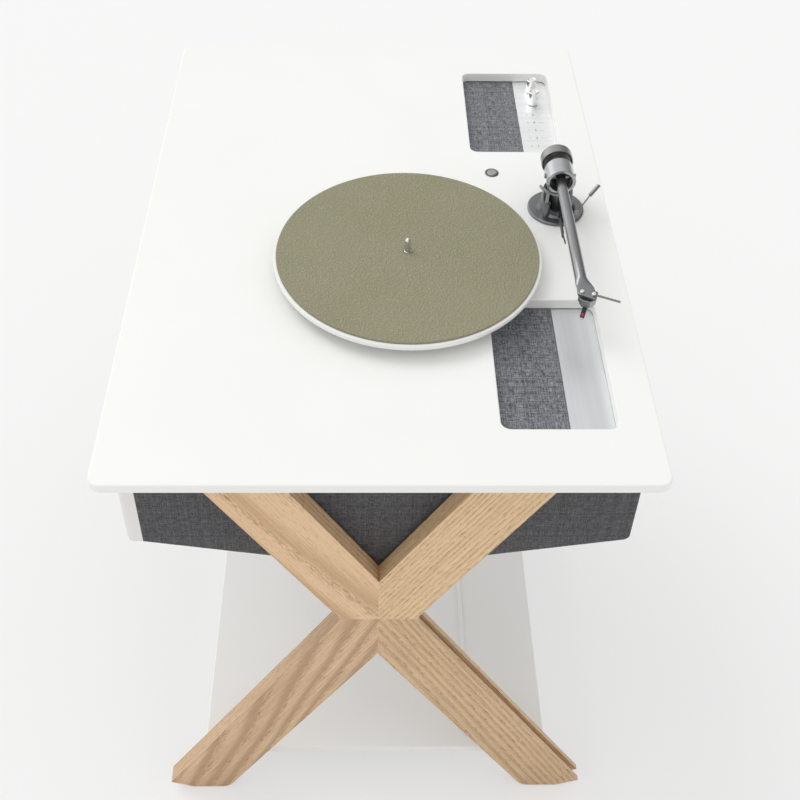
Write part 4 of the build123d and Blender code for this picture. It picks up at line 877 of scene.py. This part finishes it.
# %% Arm rest
SADDLE_REACH = 62
SADDLE_LOW = 749.5
STRIP_LOW, STRIP_HIGH = 741, 745
BASE_TOP = 715 * MM
BLADE_HEIGHTS = (744 * MM, 752.4 * MM)
FINGER_HEIGHTS = (748 * MM, 751 * MM)
saddle = [(-9, SADDLE_LOW), (9, SADDLE_LOW), (9, 763), (7.4, 763), (7.4, 755), (4.6, 751.9), (-5, 751.9),
          (-7.4, 752.7), (-9, 752.7)]
strip = beside_arm([(1.5, 21), (8.5, 21), (8.5, 66), (1.5, 66)])
riser = beside_arm([(2, 58), (8, 58), (8, 66), (2, 66)])
blade = beside_arm([(-6.8, 58), (-5.2, 58), (-6.1, 96), (-7.6, 96)])
finger = beside_arm([(-7.6, 95), (-6.6, 95), (-5.6, 112), (-6.6, 112)])
join_pieces("arm_rest_bracket", [
    turned_up(saddle, SADDLE_REACH - 4, SADDLE_REACH + 4),
    cut_outline(round_outline(5, 24, 3.5), BASE_TOP, STRIP_LOW * MM),
    cut_outline(strip, STRIP_LOW * MM, STRIP_HIGH * MM),
    cut_outline(riser, STRIP_HIGH * MM, SADDLE_LOW * MM),
    cut_outline(blade, *BLADE_HEIGHTS),
    cut_outline(finger, *FINGER_HEIGHTS)], black_plastic, "table", "black_plastic", "arm_rest")

# %% [markdown]
# On the plate beside the knobs, each light has its number and a short line, printed in grey. The
# numbers are plain text turned into a mesh, a few hundredths of a millimetre thick.

# %% Printed marks
print_grey = moulded("print_grey", (0.16, 0.16, 0.17), 0.6)
PLATE_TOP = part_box("control_plate")[1][2]
LIGHTS_LOW, LIGHTS_HIGH = corners_of("indicator_lights")
LIGHT_X = (LIGHTS_LOW[0] + LIGHTS_HIGH[0]) / 2
LIGHT_RADIUS = 1.8 * MM
LIGHT_ROWS = np.linspace(LIGHTS_LOW[1] + LIGHT_RADIUS, LIGHTS_HIGH[1] - LIGHT_RADIUS, 5)
NUMBER_X, NUMBER_SIZE = LIGHT_X + 7 * MM, 6.5 * MM
LINE_X, LINE_LENGTH, LINE_MORE = LIGHT_X + 15 * MM, 4 * MM, 2 * MM
PRINT_THICK = 0.04 * MM


def printed_number(text, x, y, size):
    """Text as a thin mesh lying on the plate, its left edge at x."""
    letters = bpy.data.curves.new("number_" + text, "FONT")
    letters.body, letters.size, letters.extrude, letters.resolution_u = text, size, PRINT_THICK / 2, 3
    letters.align_y = "CENTER"
    shape = bpy.data.objects.new("number_shape", letters)
    mesh = bpy.data.meshes.new_from_object(shape)
    bpy.data.objects.remove(shape)
    mesh.transform(Matrix.Translation((x, y, PLATE_TOP + PRINT_THICK / 2)))
    piece = bpy.data.objects.new("light_number_" + text, mesh)
    bpy.context.scene.collection.objects.link(piece)
    piece.data.materials.clear()
    dress(piece, print_grey, "table", "black_plastic")
    print(piece.name, len(mesh.polygons), "faces")


def printed_line(x, y, length, width=0.35 * MM):
    """Thin bar along X."""
    half = width / 2
    outline = [(x, y - half), (x + length, y - half), (x + length, y + half), (x, y + half)]
    return cut_outline(outline, PLATE_TOP, PLATE_TOP + PRINT_THICK)


for number, y in enumerate(LIGHT_ROWS, 1):
    printed_number(str(number), NUMBER_X, y, NUMBER_SIZE)
dashes = [printed_line(LINE_X, y, LINE_LENGTH + LINE_MORE * (row % 2)) for row, y in enumerate(LIGHT_ROWS)]
join_pieces("light_marks", dashes, print_grey, "table", "black_plastic", bevel=0)

# %% [markdown]
# The arm is one tube that is pressed flat at its end, where it becomes the headshell. Each section
# across it is a squared circle: |x/a| and |z/b| to the power p add up to one, where p is 2 for the
# round tube and 6 for the flat plate. Half width, half height, shift to the side and up, power and
# slant are given at a few stations, and read on straight lines between them.

# %% Arm tube and headshell
TUBE_STATIONS = np.array([
    # reach, half width, half height, side, up, power, slant
    (-44.0, 0.01, 0.01, 0.0, 0.0, 2.0, 0.0),
    (-44.0, 4.0, 4.0, 0.0, 0.0, 2.0, 0.0),
    (-43.5, 4.5, 4.5, 0.0, 0.0, 2.0, 0.0),
    (-12.0, 4.5, 4.5, 0.0, 0.0, 2.0, 0.0),
    (-12.0, 5.2, 5.2, 0.0, 0.0, 2.0, 0.0),
    (-10.0, 6.3, 6.3, 0.0, 0.0, 2.0, 0.0),
    (186.0, 6.5, 6.2, 0.0, 0.0, 2.0, 0.0),
    (189.5, 7.1, 5.3, 0.3, 0.0, 2.1, 0.0),
    (193.5, 8.2, 3.5, 1.2, 0.1, 2.4, 0.0),
    (197.0, 8.9, 2.0, 2.0, 0.2, 3.2, 0.0),
    (199.5, 9.2, 1.75, 2.6, 0.25, 5.0, 0.06),
    (203.0, 9.4, 1.75, 2.85, 0.25, 6.0, 0.16),
    (209.0, 10.0, 1.75, 3.1, 0.25, 6.0, 0.40),
    (215.2, 9.3, 1.75, 2.4, 0.25, 6.0, 0.51),
    (215.6, 9.0, 1.45, 2.4, 0.25, 6.0, 0.51),
    (215.6, 0.01, 0.01, 2.4, 0.25, 6.0, 0.51)])
STATION_STEPS = 5
ROUND_STEPS = 96


def arm_surface():
    """Squared-circle sections along the arm, their measures read between the stations."""
    spots = np.arange(len(TUBE_STATIONS))
    fine = np.linspace(0, spots[-1], spots[-1] * STATION_STEPS + 1)
    reach, wide, high, side, up, power, slant = (
        np.interp(fine, spots, column)[:, None] for column in TUBE_STATIONS.T)
    turn = np.linspace(0, 2 * np.pi, ROUND_STEPS, endpoint=False)[None, :]
    across = wide * np.sign(np.cos(turn)) * np.abs(np.cos(turn)) ** (2 / power)
    rise = high * np.sign(np.sin(turn)) * np.abs(np.sin(turn)) ** (2 / power)
    along = reach + slant * across
    points = np.stack([PIVOT_X + (side + across) * MM, PIVOT_Y - along * MM,
                       PIVOT_Z + (up + rise) * MM], axis=-1)
    return mesh_from_grid("arm_tube_and_headshell", points, loop=True)


def cross_shaft(radius=4.5, half=9.9):
    """Cylinder through the tube along X, which carries the two cup bearings."""
    turn = np.linspace(0, 2 * np.pi, 48, endpoint=False)
    outline = np.column_stack([PIVOT_Y + radius * MM * np.cos(turn), PIVOT_Z + radius * MM * np.sin(turn)])
    corners, faces = cut_outline(outline, PIVOT_X - half * MM, PIVOT_X + half * MM)
    return corners[:, [2, 0, 1]], faces


dress(arm_surface(), arm_paint, "arm", "arm_grey", "arm_tube")
join_pieces("arm_cross_shaft", [cross_shaft()], arm_paint, "arm", "arm_grey")

# %% [markdown]
# The cartridge hangs under the plate: a thin black strip that paints the shadow gap under the plate,
# then a pale grey body whose front is cut to a blunt nose, in two steps like a stack of moulded halves.

# %% Cartridge
BOLT_SIDE, BOLT_REACH = 4, 211
HEAD_TURN = math.radians(22)
HEAD_UNDER = PIVOT_Z - 1.5 * MM


def turned_with_head(points):
    """Places in plan from the cartridge's own millimetres: across, and ahead of the bolts."""
    across, ahead = np.asarray(points, dtype=float).T
    side = BOLT_SIDE + across * math.cos(HEAD_TURN) - ahead * math.sin(HEAD_TURN)
    reach = BOLT_REACH + across * math.sin(HEAD_TURN) + ahead * math.cos(HEAD_TURN)
    return beside_arm(np.column_stack([side, reach]))


nose = np.array([(-9, -11), (9, -11), (9.6, 1.5), (4.8, 7.6), (-4.8, 7.6), (-9.6, 1.5)])
NOSE_BEVEL = 0.35 * MM
# The first layer is a black strip that paints the shadow gap between the plate and the body.
LAYERS = [("cartridge_shim", 0.94, 0.0, 1.1, black_plastic, ()),
          ("cartridge_body", 1.0, 1.1, 8.0, lift_paint, ("cartridge",)),
          ("cartridge_foot", 0.82, 8.0, 12.0, lift_paint, ())]
for name, size, high, deep, finish, stands_for in LAYERS:
    layer = cut_outline(turned_with_head(nose * size), HEAD_UNDER - deep * MM, HEAD_UNDER - high * MM)
    join_pieces(name, [layer], finish, "arm", "arm_grey", *stands_for, bevel=NOSE_BEVEL)

# %% [markdown]
# The stylus is a black carrier with a small red jewel window in its front and a clear tip guard
# under it. The carrier itself comes with the frame. The window is a low pillow, whose height over
# its plate falls off like a circle towards the border.

# %% Stylus window
AHEAD = np.array([-math.sin(HEAD_TURN), -math.cos(HEAD_TURN), 0.0])
ACROSS = np.array([math.cos(HEAD_TURN), -math.sin(HEAD_TURN), 0.0])


def pillow(name, centre, right, up, half_width, half_height, bulge, material, body, slot, rows=14):
    """Squared-off dome: height is bulge times the fourth root of one less u^4, times the same in v."""
    u, v = np.meshgrid(np.linspace(-1, 1, rows), np.linspace(-1, 1, rows), indexing="ij")
    outward = np.cross(right, up)
    dome = ((1 - u ** 4) * (1 - v ** 4)) ** 0.25
    points = (centre + half_width * u[..., None] * right + half_height * v[..., None] * up
              + bulge * dome[..., None] * outward)
    piece = mesh_from_grid(name, points)
    backing = piece.modifiers.new("backing", "SOLIDIFY")
    backing.thickness, backing.offset = 0.15 * MM, -1
    dress(piece, material, body, slot)


STYLUS_TOP = 747.5
SLOPE_TOP, SLOPE_FOOT = (11.5, -2.4), (16, -5.6)
WINDOW_MIDDLE = (13.6, -3.75)
GUARD_OUTLINE = ((14.6, -2.2), (17.6, -1.6), (17.6, 1.6), (14.6, 2.2))
GUARD_LOW, GUARD_HIGH = -7.2, -5.9


def on_stylus(ahead, height):
    """Point in the stylus's middle plane, from millimetres ahead of the bolts and below its top."""
    base = np.array([PIVOT_X + BOLT_SIDE * MM, PIVOT_Y - BOLT_REACH * MM, (STYLUS_TOP + height) * MM])
    return base + ahead * MM * AHEAD


slope_up = on_stylus(*SLOPE_TOP) - on_stylus(*SLOPE_FOOT)
slope_up /= np.linalg.norm(slope_up)
pillow("stylus_window", on_stylus(*WINDOW_MIDDLE), ACROSS, slope_up, 1.3 * MM, 1.7 * MM, 0.35 * MM,
       jewel_red, "arm", "red_plastic")
tip_outline = [on_stylus(ahead, 0)[:2] + side * MM * ACROSS[:2] for ahead, side in GUARD_OUTLINE]
guard = cut_outline(tip_outline, (STYLUS_TOP + GUARD_LOW) * MM, (STYLUS_TOP + GUARD_HIGH) * MM)
join_pieces("stylus_guard", [guard], clear_guard, "arm", "red_plastic")

# %% [markdown]
# The floor is a wide disc of the same white as the sky, so the two meet without a line. It is a
# real surface, so the table keeps its soft shadow.

# %% Floor
FLOOR_RADIUS = 9.0
FLOOR_WHITE = (0.93, 0.93, 0.93, 1)
FLOOR_PALER = (0.94, 0.94, 0.94, 1)
FLOOR_GLOW = 0.50


def studio_floor():
    """Rings of points round the table, closer together near it."""
    radius = FLOOR_RADIUS * np.linspace(0.001, 1, 24) ** 1.6
    turn = np.linspace(0, 2 * np.pi, 96, endpoint=False)
    r, angle = np.meshgrid(radius, turn, indexing="ij")
    points = np.stack([r * np.cos(angle), r * np.sin(angle), np.zeros_like(r)], axis=-1)
    return mesh_from_grid("studio_floor", points, loop=True)


floor = studio_floor()
floor_paint, tree, shader = new_material("floor_white", specular_ior_level=0.2)
tone = grouped(tree, drift, {"Vector": object_place(tree), "Scale": 1.0, "Fine": 60.0})
paint = blend(tree, tone["Slow"], FLOOR_WHITE, FLOOR_PALER)
feed(tree, shader, base_color=paint, roughness=ramp(tree, tone["Fine"], 0.2, 0.8, 0.6, 0.75))
glow = put(tree, "Emission", {"Color": (1, 1, 1, 1), "Strength": COVE_SEEN})
seen = maths(tree, "MULTIPLY", put(tree, "LightPath").outputs["Is Camera Ray"], FLOOR_GLOW)
mixed = put(tree, "MixShader", {0: seen, 1: shader.outputs[0], 2: glow.outputs[0]})
tree.links.new(mixed.outputs[0], tree.nodes["Material Output"].inputs["Surface"])
floor.data.materials.append(floor_paint)
